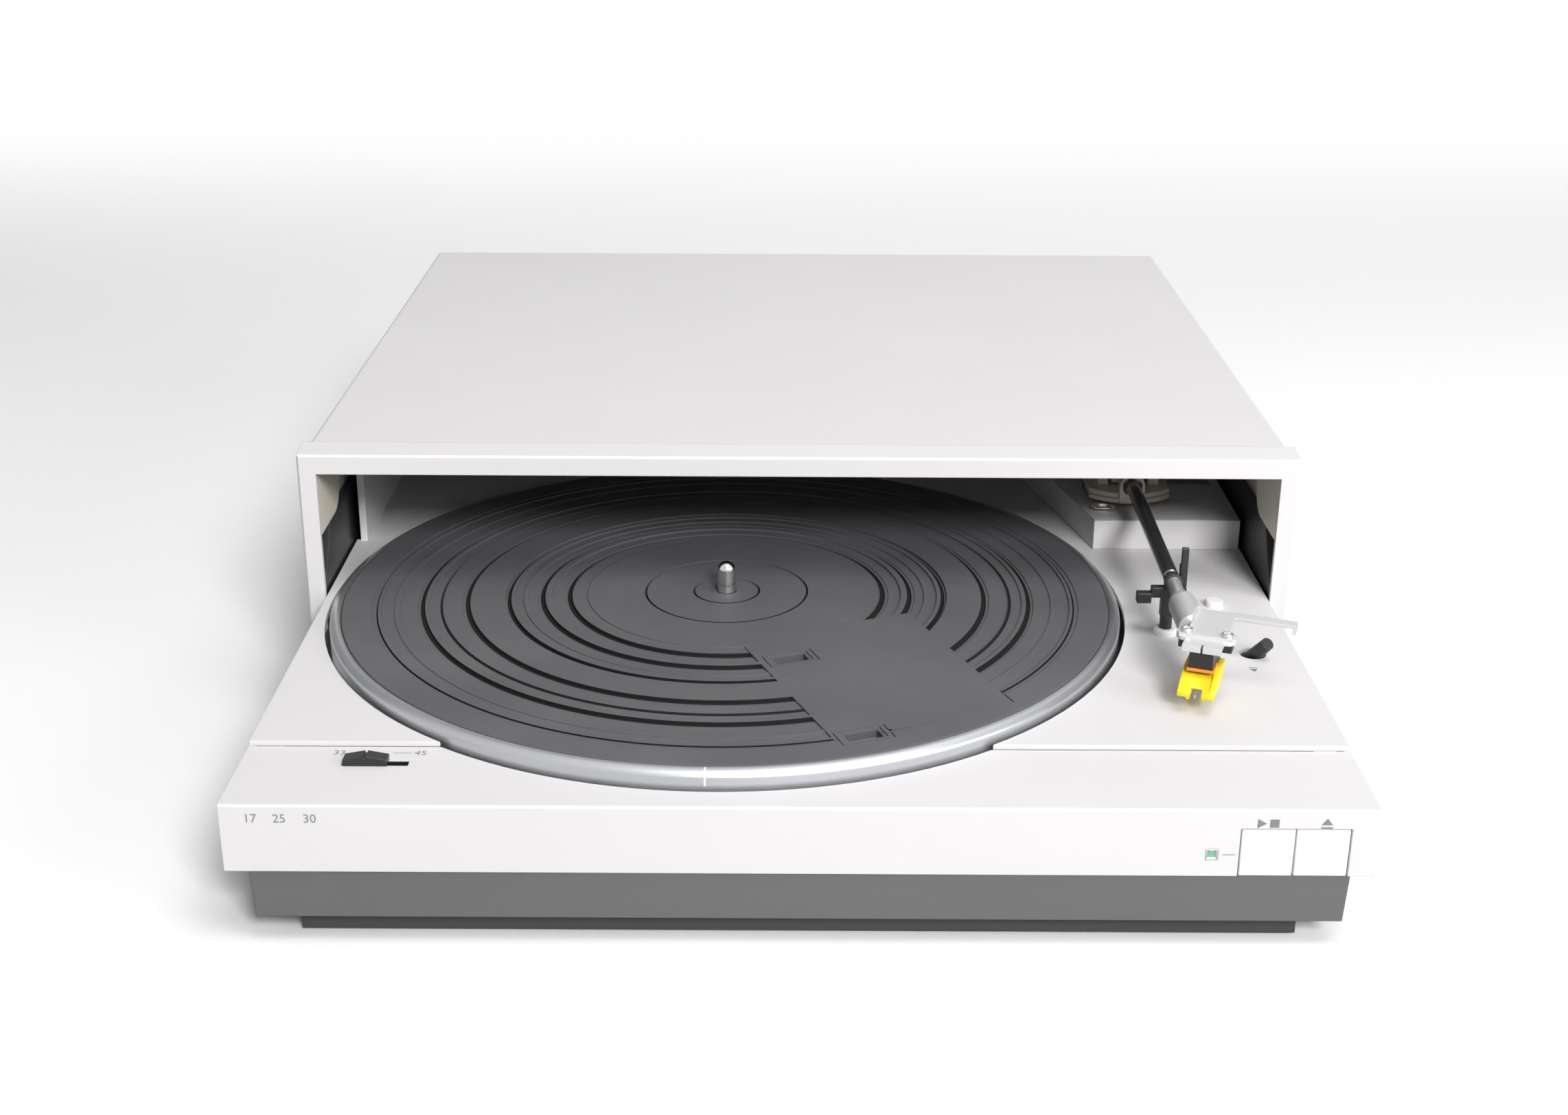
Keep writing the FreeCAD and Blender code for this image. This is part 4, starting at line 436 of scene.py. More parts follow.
def turned_tree():
    """Turns a line of (radius, 0, distance) points about the upright axis, each step with its own coat."""
    tree, source, result = geometry_tree("Turned piece", [
        ("Profile", "Geometry"), ("Segments", "Int"), *((label, "Material") for label in coat_labels)],
        "Piece")
    profile = source.outputs["Profile"]
    size = tree_node(tree, "GeometryNodeAttributeDomainSize", [(0, profile)], component="MESH")
    count = size.outputs["Point Count"]
    around = math_node(tree, "ADD", source.outputs["Segments"], 1.0)
    grid = tree_node(tree, "GeometryNodeMeshGrid", [
        ("Size X", 1.0), ("Size Y", 1.0), ("Vertices X", around), ("Vertices Y", count)])
    position = tree_node(tree, "GeometryNodeInputPosition").outputs[0]
    part_round, part_along, _ = separated(tree, position)
    angle = product(tree, math_node(tree, "ADD", part_round, 0.5), 2 * math.pi)
    step = product(tree, math_node(tree, "ADD", part_along, 0.5), math_node(tree, "SUBTRACT", count, 1.0))

    def looked_up(value, kind, rounding):
        index = tree_node(tree, "FunctionNodeFloatToInt", [(0, step)], rounding_mode=rounding).outputs[0]
        found = tree_node(tree, "GeometryNodeSampleIndex", [("Geometry", profile), ("Index", index)],
                          data_type=kind, domain="POINT")
        tree.links.new(value, found.inputs["Value"])
        return found.outputs[0]

    radius, _, height = separated(tree, looked_up(position, "FLOAT_VECTOR", "ROUND"))
    place = tree_node(tree, "ShaderNodeCombineXYZ", [
        (0, product(tree, radius, math_node(tree, "COSINE", angle))),
        (1, product(tree, radius, math_node(tree, "SINE", angle))), (2, height)])
    coat = tree_node(tree, "GeometryNodeInputNamedAttribute", [("Name", "coat")], data_type="FLOAT")
    kept = tree_node(tree, "GeometryNodeCaptureAttribute", domain="FACE")
    kept.capture_items.new("FLOAT", "coat")
    tree.links.new(grid.outputs["Mesh"], kept.inputs[0])
    tree.links.new(looked_up(coat.outputs["Attribute"], "FLOAT", "FLOOR"), kept.inputs[1])
    moved = tree_node(tree, "GeometryNodeSetPosition", [
        ("Geometry", kept.outputs[0]), ("Position", place.outputs[0])])
    merged = tree_node(tree, "GeometryNodeMergeByDistance", [
        ("Geometry", moved.outputs[0]), ("Distance", 1e-6)])
    last = tree_node(tree, "GeometryNodeRealizeInstances", [(0, merged.outputs[0])])
    for number, label in enumerate(coat_labels):
        chosen = math_node(tree, "GREATER_THAN", kept.outputs[1], number - 0.5)
        last = tree_node(tree, "GeometryNodeSetMaterial", [
            ("Geometry", last.outputs[0]), ("Selection", chosen), ("Material", source.outputs[label])])
    tree.links.new(last.outputs[0], result.inputs[0])
    return tree


turned = turned_tree()


def lathe(profile, foot, segments=128, direction=(0, 0, 1), closed=True, coats=("steel",)):
    """A turned piece: (radius, distance, coat) points in millimetres from a foot point along a direction."""
    points = [(*point, 0)[:3] for point in profile]
    if closed:
        points.append(points[0])
    else:
        points = [(0.0, points[0][1], points[0][2]), *points, (0.0, points[-1][1], 0)]
    line = bpy.data.meshes.new("profile")
    line.from_pydata([(radius * 0.001, 0, distance * 0.001) for radius, distance, _ in points],
                     [(k, k + 1) for k in range(len(points) - 1)], [])
    values = line.attributes.new("coat", "FLOAT", "POINT")
    for item, (_, _, coat) in zip(values.data, points):
        item.value = coat
    picked = [finishes[coats[min(k, len(coats) - 1)]] for k in range(3)]
    mesh = run_tree(line, turned, {"Segments": segments, **dict(zip(coat_labels, picked))})
    kept = list(dict.fromkeys(picked))
    order = [kept.index(mesh.materials[face.material_index]) for face in mesh.polygons]
    mesh.materials.clear()
    for material in kept:
        mesh.materials.append(material)
    mesh.polygons.foreach_set("material_index", order)
    along = Vector(direction).normalized()
    side = along.orthogonal().normalized() if abs(along.z) < 0.99 else Vector((1, 0, 0))
    turn = Matrix((side, along.cross(side), along)).transposed().to_4x4()
    mesh.transform(Matrix.Translation(spot(*foot)) @ turn)
    bm = bmesh.new()
    bm.from_mesh(mesh)
    bmesh.ops.recalc_face_normals(bm, faces=bm.faces)
    bm.to_mesh(mesh)
    bm.free()
    return mesh


def block(x0, x1, y0, y1, z0, z1, turn=0.0, centre=(0.0, 0.0)):
    """A box in millimetres, turned in degrees about its own origin and set on a centre."""
    bm = bmesh.new()
    bmesh.ops.create_cube(bm, size=1.0)
    for vert in bm.verts:
        vert.co = Vector(((x0 + x1) / 2 + vert.co.x * (x1 - x0), (y0 + y1) / 2 + vert.co.y * (y1 - y0),
                          (z0 + z1) / 2 + vert.co.z * (z1 - z0)))
    bmesh.ops.rotate(bm, verts=bm.verts, matrix=Matrix.Rotation(math.radians(turn), 3, "Z"))
    for vert in bm.verts:
        vert.co = spot(vert.co.x + centre[0], vert.co.y + centre[1], vert.co.z)
    return taken(bm, "block")


def carved(mesh, cutters, operation="DIFFERENCE"):
    """The mesh with other closed meshes cut from it or joined to it."""
    helpers = []
    for cutter in cutters:
        cutter.materials.clear()
        helpers.append(linked("cutter", cutter))

    def cutting(holder):
        for helper in helpers:
            cut = holder.modifiers.new("cut", "BOOLEAN")
            cut.operation = operation
            cut.solver = "EXACT"
            cut.object = helper

    result = modified(mesh, cutting)
    for helper in helpers:
        bpy.data.objects.remove(helper)
    return result


# Platter, mat and spindle
at_platter = (*platter_centre, 0)

# The mat's deep grooves, hairlines and lowered bands: inner radius, outer radius, depth
deep_grooves = [(60.5, 63.6), (71.0, 74.0), (84.2, 86.5), (100.0, 103.0), (117.3, 120.1)]
hairlines = [(12.4, 13.2), (31.3, 32.1), (110.6, 111.5), (135.2, 135.8)]
low_bands = [(54.5, 60.5, 0.4), (63.6, 68.5, 0.7), (74.0, 77.6, 0.75), (77.6, 79.4, 0.25), (79.4, 82.6, 0.65),
             (103.0, 110.6, 0.65), (111.5, 115.6, 0.55), (120.1, 126.8, 0.65), (126.8, 129.0, 0.25),
             (129.0, 134.0, 0.6), (135.8, 137.4, 0.35)]
groove_depth = 1.5
hairline_depth = 0.8
mat_hole = 3.75
hole_bevel = 0.4
inner_lean = 0.06
outer_lean = 0.05
ledge_run = 0.3
ledge_rise = 0.5
mat_segments = 224


def mat_profile():
    """Rings of the mat from its hole to its edge; 1 marks the walls and floors that get painted shade."""
    steps = [(a, b, hairline_depth, "hair") for a, b in hairlines]
    steps += [(a, b, groove_depth, "deep") for a, b in deep_grooves]
    steps += [(a, b, depth, "band") for a, b, depth in low_bands]
    band_depths = {inner: depth for inner, _, depth in low_bands}
    points = [(mat_hole, mat_seat, 0), (mat_hole, mat_top - hole_bevel, 0),
              (mat_hole + hole_bevel, mat_top, 0)]
    for inner, outer, depth, kind in sorted(steps):
        low = mat_top - depth
        painted_shade = 0 if kind == "band" else 1
        if points[-1][0] < inner - 0.01:
            points.append((inner, mat_top, painted_shade))
        points[-1] = (*points[-1][:2], painted_shade)
        if kind == "deep":
            middle = inner + 0.5 * (outer - inner)
            points += [(inner + inner_lean, low, 1), (middle, low, 1),
                       (middle + ledge_run, low + ledge_rise, 0), (outer - outer_lean, low + ledge_rise, 0)]
        else:
            points += [(inner + inner_lean, low, painted_shade), (outer - outer_lean, low, 0)]
        points.append((outer, mat_top - band_depths.get(outer, 0.0), 0))
    points += [(mat_radius - 0.9, mat_top, 0), (mat_radius - 0.25, mat_top - 0.25, 0),
               (mat_radius, mat_top - 0.9, 0), (mat_radius, mat_seat, 0)]
    return points


# Half sizes along and across the arm of the mat's two windows, from the recess in to the opening
window_recess, window_frame, window_hollow, window_opening = (5.2, 9.6), (4.8, 9.2), (3.8, 7.6), (2.8, 6.2)
recess_depth = 0.5
hollow_depth = 0.7
slit_angle = math.radians(-43.4)
slit_radius = 139.0
slit_half = (5.0, 0.25)
pad_limit = 141.6
pad_set = 1.2


def window_block(radius, half, low, high):
    """A block over one of the mat's windows."""
    return block(radius - half[0], radius + half[0], -half[1], half[1], low, high, window_angle,
                 platter_centre)


def make_mat():
    # The second coat is painted shade on the walls and floors of the grooves and hairlines
    disc = lathe(mat_profile(), at_platter, mat_segments, coats=("mat_rubber", "mat_groove_shade"))
    over, inside = mat_top + 1, mat_seat + pad_set
    half_long, half_wide = flat_size[0] / 2, flat_size[1] / 2
    middle = (spindle_x + flat_middle[0], spindle_y + flat_middle[1])
    pad = block(-half_long, half_long, -half_wide, half_wide, inside, mat_top, flat_angle, middle)
    limit = lathe([(mat_hole, mat_seat), (mat_hole, over), (pad_limit, over), (pad_limit, mat_seat)],
                  at_platter, mat_segments)
    disc = carved(disc, [carved(pad, [limit], "INTERSECT")], "UNION")
    slit_middle = (spindle_x + slit_radius * math.cos(slit_angle),
                   spindle_y + slit_radius * math.sin(slit_angle))
    cutters = [block(-slit_half[0], slit_half[0], -slit_half[1], slit_half[1], mat_top - hollow_depth, over,
                     flat_angle, slit_middle)]
    frames = []
    openings = []
    for radius in window_radii:
        cutters.append(window_block(radius, window_recess, mat_top - recess_depth, over))
        raised = window_block(radius, window_frame, inside, mat_top - 0.05)
        frames.append(carved(raised, [window_block(radius, window_hollow, mat_top - hollow_depth, over)]))
        openings.append(window_block(radius, window_opening, mat_seat - 1, over))
    disc = carved(disc, cutters)
    disc = carved(disc, frames, "UNION")
    disc = carved(disc, openings)
    new_piece("grooved_mat", flat_kept(shade(disc, 30.0)), "platter", "mat_rubber", ("platter_mat",),
              coated=True)


platter_bore, hub_radius, wall_inner = 3.6, 13.0, 150.5
platter_foot, platter_under, hub_foot = 45.0, 51.2, 43.8
platter_window = (2.4, 5.6)
# The rim's rounding: distance in from the edge, and down from the top
rim_rounding = [(2.8, 0.0), (2.3, 0.1), (0.6, 1.15), (0.1, 1.8), (0.0, 2.4)]


def make_platter():
    """The turned platter, with its polished rim, its hub and the openings under the mat's windows."""
    profile = [(platter_bore, mat_seat), (rim_inner + 0.1, mat_seat), (rim_inner + 0.1, rim_top - 0.3),
               (rim_inner + 0.35, rim_top)]
    profile += [(platter_radius - inset, rim_top - drop) for inset, drop in rim_rounding]
    profile += [(platter_radius, platter_foot + 0.4), (platter_radius - 0.4, platter_foot),
                (wall_inner, platter_foot), (wall_inner, platter_under), (hub_radius, platter_under),
                (hub_radius, hub_foot + 0.5), (hub_radius - 0.6, hub_foot), (platter_bore, hub_foot)]
    dish = lathe(profile, at_platter, 256)
    dish = carved(dish, [window_block(radius, platter_window, mat_seat - 6, mat_seat + 2)
                         for radius in window_radii])
    new_piece("turned_platter", shade(dish, 30.0), "platter", "cast_aluminium", ("platter",))


def make_spindle():
    """A polished pin whose end is a plain dome."""
    radius, top, bottom, steps = 3.55, 70.0, 18.1, 12
    dome = [(radius * math.cos(a), top - radius + radius * math.sin(a))
            for a in (math.pi / 2 * k / steps for k in range(steps))]
    profile = [(radius - 0.3, bottom), (radius, bottom + 0.3)] + dome + [(0.05, top)]
    mesh = lathe(profile, at_platter, 64, closed=False)
    new_piece("polished_spindle", shade(mesh, 40.0), "platter", "steel", ("spindle",))


# The mark's line over the rim: radius, and distance down from the rim's top
mark_line = [(149.9, -0.03), (150.6, -0.03), (151.25, 0.09), (153.16, 1.27), (153.56, 1.9), (153.56, 5.0)]


def make_rim_mark():
    """The thin white mark across the platter's rim, as a closed strip set a hair into the metal."""
    angle, half, sunk = math.radians(-91.1), 0.0019, 0.08
    bm = bmesh.new()
    rows = []
    for radius, drop in mark_line:
        top = rim_top - drop
        corners = ((radius, -half, top), (radius, half, top), (radius - sunk, half, top - sunk),
                   (radius - sunk, -half, top - sunk))
        rows.append([bm.verts.new(spot(spindle_x + r * math.cos(angle + s),
                                       spindle_y + r * math.sin(angle + s), z)) for r, s, z in corners])
    for low, high in zip(rows, rows[1:]):
        for k in range(4):
            bm.faces.new((low[k], low[(k + 1) % 4], high[(k + 1) % 4], high[k]))
    for end in (rows[0], rows[-1]):
        bm.faces.new(end)
    new_piece("rim_mark", facing_out(bm, "rim mark"), "platter", "white_mark")


make_mat()
make_platter()
make_spindle()
make_rim_mark()

# Painted and moulded shells, with the fine rounding that catches the light
for name, radius, body, slot in (
        ("top_cover", 0.4, "housing", "champagne_paint"), ("deck_plate", 0.25, "drawer", "champagne_paint"),
        ("tonearm_base", 0.4, "drawer", "champagne_paint"), ("plinth", 0.35, "drawer", "plinth_paint"),
        ("start_button", 0.3, "start_button", "white_plastic"),
        ("open_button", 0.3, "open_button", "white_plastic"),
        ("speed_slider", 0.18, "speed_slider", "black_moulding"),
        ("armrest", 0.22, "drawer", "black_moulding"),
        ("armrest_clip", 0.2, "armrest_clip", "black_moulding"),
        ("cartridge", 0.18, "tonearm", "black_moulding"), ("cue_lever", 0.3, "cue_lever", "black_moulding"),
        ("deck_fittings", 0.2, "drawer", "white_plastic"), ("arm_yoke", 0.3, "arm_yoke", "cream_plastic")):
    softened(name, radius, body, slot)
panel = softened("front_panel", 0.35, "drawer", "champagne_paint", front_set_back=0.06)


def faces_take(piece, slot, chosen):
    """Gives some faces of a piece another finish; chosen says which, by their centre."""
    piece.data.materials.append(finishes[slot])
    for face in piece.data.polygons:
        if chosen(face.center * 1000 + Vector((0, drawer_to_middle, 0))):
            face.material_index = len(piece.data.materials) - 1


# Painted shade: the walls of the speed slider's slot in the panel take the black finish, for the shade inside
# the slot
slot_left, slot_right, slot_front, slot_back = -152.8, -130.4, 27.7, 31.1
faces_take(panel, "black_moulding", lambda c: slot_left < c.x < slot_right and slot_front < c.y < slot_back
           and c.z < panel_top - 0.1)

# A foot's outline from the table up: radius, height
foot_outline = [(6.2, 0.0), (6.8, 0.5), (7.15, 2.5), (6.8, 2.8), (7.25, 3.2), (7.6, 5.2), (7.25, 5.5),
                (7.7, 5.9), (8.0, 7.6)]
front_foot_inset = (8.0, 8.0)
back_foot_inset = (9.5, 8.0)


def make_feet():
    """Rubber feet with two shallow rings round each."""
    low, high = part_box("housing_feet")
    rows = ((front_foot_inset[0], low.y * 1000 + front_foot_inset[1]),
            (back_foot_inset[0], high.y * 1000 - back_foot_inset[1]))
    feet = [lathe(foot_outline, (side * (high.x * 1000 - inset), y + drawer_to_middle, 0), 40, closed=False)
            for side in (-1, 1) for inset, y in rows]
    joined = carved(feet[0], feet[1:], "UNION")
    new_piece("ringed_feet", shade(joined, 30.0), "housing", "foot_rubber", ("housing_feet",))


# The lamp's frame from its front edge round to its back: half size, depth in the panel
bezel_steps = [(1.96, 0.04), (1.1, 0.42), (1.1, 0.47), (1.96, 0.47)]


def make_lamp_bezel():
    """A bright square frame that slopes in to the lamp's lens."""
    x, z = lamp_middle
    corners = ((-1, -1), (1, -1), (1, 1), (-1, 1))
    bm = bmesh.new()
    rows = [[bm.verts.new(spot(x + sx * half, depth, z + sz * half)) for sx, sz in corners]
            for half, depth in bezel_steps]
    for first, second in zip(rows, rows[1:] + rows[:1]):
        for k in range(4):
            bm.faces.new((first[k], first[(k + 1) % 4], second[(k + 1) % 4], second[k]))
    new_piece("lamp_bezel", facing_out(bm, "lamp bezel"), "drawer", "steel")


make_feet()
make_lamp_bezel()

# Tonearm pieces
arm_pivot = (142.6, 264.0, 75.4)
arm_turn = math.radians(-0.7)
arm_along = (math.sin(arm_turn), -math.cos(arm_turn), 0)
head_middle = (143.3, 79.9)
head_turn = -20.8
shell_top = 78.0
# Radius, distance from the pivot and coat: the tube, the bright band, the rubber ring and the neck
arm_outline = [(2.8, 10.0, 0), (3.0, 10.3, 0), (3.0, 125.2, 0), (2.66, 125.4, 0), (2.66, 129.5, 2),
               (2.95, 129.6, 2), (2.95, 129.9, 1), (3.3, 130.0, 1), (3.6, 130.3, 1), (3.6, 131.3, 1),
               (3.3, 131.7, 1), (2.6, 131.8, 2), (2.6, 148.2, 2)]


def make_arm_tube():
    """Glossy tube, thin bright band, rubber ring and bright neck, turned in one piece along the arm."""
    mesh = lathe(arm_outline, arm_pivot, 48, arm_along, closed=False,
                 coats=("arm_gloss", "arm_rubber", "satin_steel"))
    new_piece("turned_arm", shade(mesh, 30.0), "tonearm", "arm_gloss", ("arm_tube",), coated=True)


def on_head(mesh):
    """A mesh drawn in millimetres about the screw line, straight ahead, moved onto the headshell."""
    turn = Matrix.Rotation(math.radians(head_turn), 4, "Z")
    mesh.transform(Matrix.Translation(spot(*head_middle, 0)) @ turn @ Matrix.Scale(0.001, 4))
    return mesh


def side_prism(points, x0, x1):
    """An outline of (y, z) points with a thickness across the head."""
    bm = bmesh.new()
    add_slab(bm, [(x0, y, z) for y, z in points], (x1 - x0, 0, 0))
    return facing_out(bm, "prism")


def side_box(y0, y1, low, high, x0, x1):
    """A plain box on the head, from y0 to y1, low to high and x0 to x1."""
    return side_prism([(y0, low), (y0, high), (y1, high), (y1, low)], x0, x1)


def bevelled(mesh, width):
    def rounding(holder):
        bevel = holder.modifiers.new("rounding", "BEVEL")
        bevel.limit_method = "ANGLE"
        bevel.angle_limit = math.radians(30)
        bevel.width = width
        bevel.segments = rounding_steps
    return modified(mesh, rounding)


# The headshell and its finger lift, in millimetres about the screw line
shell_back, shell_front, shell_half, shell_depth = 21.4, 9.9, 6.9, 2.4
shell_step, shell_lip, lip_thickness, step_line = 1.2, 2.4, 1.2, 2.4
notch_half, notch_depth = 0.35, 3.0
ear_radius, ear_sides, screw_reach = 3.4, 40, 7.15
finger_reach, finger_wide, finger_thick, finger_set, finger_drop = 21.6, 4.6, 1.2, 3.6, 2.2
shell_rounding = 0.16
collar_room = 0.05
collar_cut = 8.0


def ear(side, radius, low, high):
    """A round ear of the headshell, drawn about the screw line."""
    angles = [2 * math.pi * k / ear_sides for k in range(ear_sides)]
    bm = bmesh.new()
    add_slab(bm, [(side * screw_reach + radius * math.cos(a), radius * math.sin(a), low) for a in angles],
             (0, 0, high - low))
    return facing_out(bm, "ear")


def shell_plate(grow, above):
    low, high = shell_top - shell_depth - grow, shell_top + above
    return side_box(-shell_front - grow, shell_back + grow, low, high, -shell_half - grow, shell_half + grow)


# The collar's rounded shoulder, fine bead and plain barrel: radius, distance from the arm's pivot
collar_outline = [(2.7, 147.5), (3.4, 147.6), (4.1, 148.3), (4.7, 149.6), (5.05, 151.2), (5.2, 152.6),
                  (5.3, 152.9), (5.3, 153.3), (5.2, 153.6), (5.25, 153.9), (5.25, 172.9), (4.9, 173.4)]


def make_collar():
    """The silver collar behind the head, cut out round the headshell's end."""
    barrel = lathe(collar_outline, arm_pivot, 72, arm_along, closed=False)
    low, high = shell_top - shell_depth - collar_room, shell_top + collar_cut
    room = [shell_plate(collar_room, collar_cut)]
    room += [ear(side, ear_radius + collar_room, low, high) for side in (-1, 1)]
    barrel = carved(barrel, [on_head(cutter) for cutter in room])
    new_piece("turned_collar", flat_kept(shade(barrel, 40.0)), "tonearm", "collar_silver", ("head_collar",))


def make_shell():
    """The headshell: a plate stepped down at the front, two screw ears, a notched lip and the finger lift."""
    low, step_top = shell_top - shell_depth, shell_top - shell_step
    ears = [ear(side, ear_radius, low, shell_top) for side in (-1, 1)]
    plate = carved(shell_plate(0.0, 0.0), ears, "UNION")
    lip_foot, lip_back = step_top - shell_lip, -shell_front + lip_thickness
    lip = side_prism([(-shell_front, lip_foot), (-shell_front, low + 0.2), (lip_back, low + 0.2),
                      (lip_back, lip_foot)], -shell_half, shell_half)
    start, end = shell_half - 1, shell_half + finger_reach
    y0, y1 = shell_back - finger_set, shell_back - finger_set + finger_wide
    under = shell_top - finger_thick
    blade = side_box(y0, y1, under, shell_top, start, end)
    tip = side_box(y0, y1, under - finger_drop, shell_top, end - finger_thick, end)
    plate = carved(plate, [lip, carved(blade, [tip], "UNION")], "UNION")
    step = side_box(-shell_front - 1, -step_line, step_top, shell_top + 1, -shell_half - 5, shell_half + 5)
    notch = side_box(-shell_front - 1, -shell_front + notch_depth, step_top - 4, shell_top + 1,
                     -notch_half, notch_half)
    mesh = on_head(bevelled(carved(plate, [step, notch]), shell_rounding))
    new_piece("stepped_headshell", flat_kept(shade(mesh, 50.0)), "tonearm", "shell_silver", ("headshell",))


holder_top, holder_low = shell_top - 11.2, shell_top - 18.3
holder_half, holder_rounding = 6.4, 0.22
lug_reach, lug_half = 2.7, 0.65
band_height = 1.15


def make_holder():
    """The yellow stylus holder with its hollowed front and the two lugs beside the stylus."""
    top, low = holder_top, holder_low
    body = side_prism([(6.0, low), (6.0, top), (-5.5, top), (-15.7, low + 1.6), (-15.7, low)],
                      -holder_half, holder_half)
    hollow = side_prism([(-4.0, top + 3), (-4.0, top - 0.2), (-14.9, low + 2.0), (-17.5, low + 3.4),
                         (-17.5, top + 3)], -4.5, 4.5)
    plug = side_box(7.0, -2.6, low - 1, top + 1, -4.3, 4.3)
    stylus_room = side_box(-4.5, -18, low - 1, low + 2.6, -2.0, 2.0)
    lugs = [side_box(-12.5, -15.4, low - 0.9, low + 1, middle - lug_half, middle + lug_half)
            for middle in (-lug_reach, lug_reach)]
    body = carved(carved(body, [hollow, plug, stylus_room]), lugs, "UNION")
    mesh = on_head(bevelled(body, holder_rounding))
    new_piece("hollowed_holder", shade(mesh, 40.0), "tonearm", "yellow_plastic", ("stylus_holder",))
    band = carved(side_box(-1.0, -9.0, top, top + band_height, -4.75, 4.75),
                  [side_box(1.0, -8.62, top - 1, top + 3, -4.22, 4.22)])
    new_piece("holder_band", on_head(band), "tonearm", "orange_plastic")


make_arm_tube()
make_collar()
make_shell()
make_holder()

# Printed marks
figure_height = 4.4
print_thickness = 0.05
mark_lift = 0.04
speed_row = 36.8
size_row = 46.4


def flat_shape(name, slabs):
    """Thin raised marks on the drawer, from outlines in metres and their lifts in millimetres."""
    bm = bmesh.new()
    for outline, lift in slabs:
        add_slab(bm, outline, Vector(lift) * 0.001)
    new_piece(name, facing_out(bm, name), "drawer", "print")


def figures(name, text, place, standing):
    """Plain figures set flat on the panel's top, or standing on its front."""
    curve = bpy.data.curves.new(name, "FONT")
    curve.body = text
    curve.size = figure_height * 0.001
    curve.extrude = print_thickness * 0.0005
    curve.resolution_u = 3
    curve.align_x = "CENTER"
    curve.align_y = "CENTER"
    mesh = evaluated(linked(name, curve))
    turn = Matrix.Rotation(math.radians(90), 4, "X") if standing else Matrix.Identity(4)
    mesh.transform(Matrix.Translation(place) @ turn)
    new_piece(name, mesh, "drawer", "print")


def on_front(points):
    return ([spot(x, 0.06, z) for x, z in points], (0, -print_thickness, 0))


def on_top(points, level):
    return ([spot(x, y, level - 0.01) for x, y in points], (0, 0, mark_lift))


def bar(x0, x1, y0, y1):
    return [(x0, y0), (x1, y0), (x1, y1), (x0, y1)]


for name, text, x in (("speed_low", "33", -155.0), ("speed_high", "45", -127.6)):
    figures(name, text, spot(x, speed_row, panel_top + 0.02), False)
flat_shape("speed_line", [on_top(bar(-137.0, -130.6, 36.7, 37.0), panel_top)])
for name, text, x in (("size_small", "17", -176.8), ("size_middle", "25", -167.4),
                      ("size_large", "30", -157.6)):
    figures(name, text, spot(x, 0.035, size_row), True)
flat_shape("lamp_line", [on_front(bar(136.6, 140.8, 34.9, 35.15))])
left = button_middles[0] - 3.5
flat_shape("start_sign", [on_front([(left, 44.8), (left + 3.0, 46.5), (left, 48.2)]),
                          on_front(bar(left + 4.0, left + 7.0, 45.0, 48.0))])
left = button_middles[1] - 1.9
flat_shape("open_sign", [on_front([(left, 46.0), (left + 3.8, 46.0), (left + 1.9, 48.4)]),
                         on_front(bar(left, left + 3.8, 44.7, 45.3))])
left, near = 165.4, 104.5
flat_shape("cue_sign", [on_top([(left, near), (left + 3.2, near), (left + 1.6, near - 2.6)], deck_top),
                        on_top(bar(left, left + 3.2, near + 0.7, near + 1.1), deck_top)])


# Screws with cross recesses, made as geometry nodes
head_sides = 28
crown_share, crown_height = 0.78, 1.5
recess_share, recess_rise = 1.15, 0.8


def screw_tree():
    """Round heads with a raised crown and a cross recess, one at each place, facing its own way."""
    tree, source, result = geometry_tree("Cross head screws", [
        ("Places", "Geometry"), ("Radius", "Float"), ("Height", "Float"), ("Slot width", "Float"),
        ("Finish", "Material")], "Screws")
    radius, height = source.outputs["Radius"], source.outputs["Height"]
    body = tree_node(tree, "GeometryNodeMeshBoolean", operation="UNION")
    for wide, tall in ((radius, height), (product(tree, radius, crown_share),
                                          product(tree, height, crown_height))):
        part = tree_node(tree, "GeometryNodeMeshCylinder", [
            ("Vertices", head_sides), ("Radius", wide), ("Depth", tall)])
        tree.links.new(part.outputs["Mesh"], body.inputs["Mesh 2"])
    cut = tree_node(tree, "GeometryNodeMeshBoolean", [("Mesh 1", body.outputs[0])], operation="DIFFERENCE")
    rise = tree_node(tree, "ShaderNodeCombineXYZ", [(2, product(tree, height, recess_rise))])
    for long_way in (0, 1):
        size = tree_node(tree, "ShaderNodeCombineXYZ", [
            (long_way, product(tree, radius, recess_share)),
            (1 - long_way, source.outputs["Slot width"]), (2, height)])
        slot_bar = tree_node(tree, "GeometryNodeMeshCube", [("Size", size.outputs[0])])
        raised = tree_node(tree, "GeometryNodeTransform", [
            ("Geometry", slot_bar.outputs["Mesh"]), ("Translation", rise.outputs[0])])
        tree.links.new(raised.outputs[0], cut.inputs["Mesh 2"])
    named = tree_node(tree, "GeometryNodeInputNamedAttribute", [("Name", "facing")],
                      data_type="FLOAT_VECTOR")
    facing = named.outputs["Attribute"]
    aim = tree_node(tree, "FunctionNodeAlignRotationToVector", [("Vector", facing)], axis="Z")
    spread = tree_node(tree, "GeometryNodeInstanceOnPoints", [
        ("Points", source.outputs["Places"]), ("Instance", cut.outputs[0]), ("Rotation", aim.outputs[0])])
    real = tree_node(tree, "GeometryNodeRealizeInstances", [(0, spread.outputs[0])])
    painted = tree_node(tree, "GeometryNodeSetMaterial", [
        ("Geometry", real.outputs[0]), ("Material", source.outputs["Finish"])])
    tree.links.new(painted.outputs[0], result.inputs[0])
    return tree


screws = screw_tree()


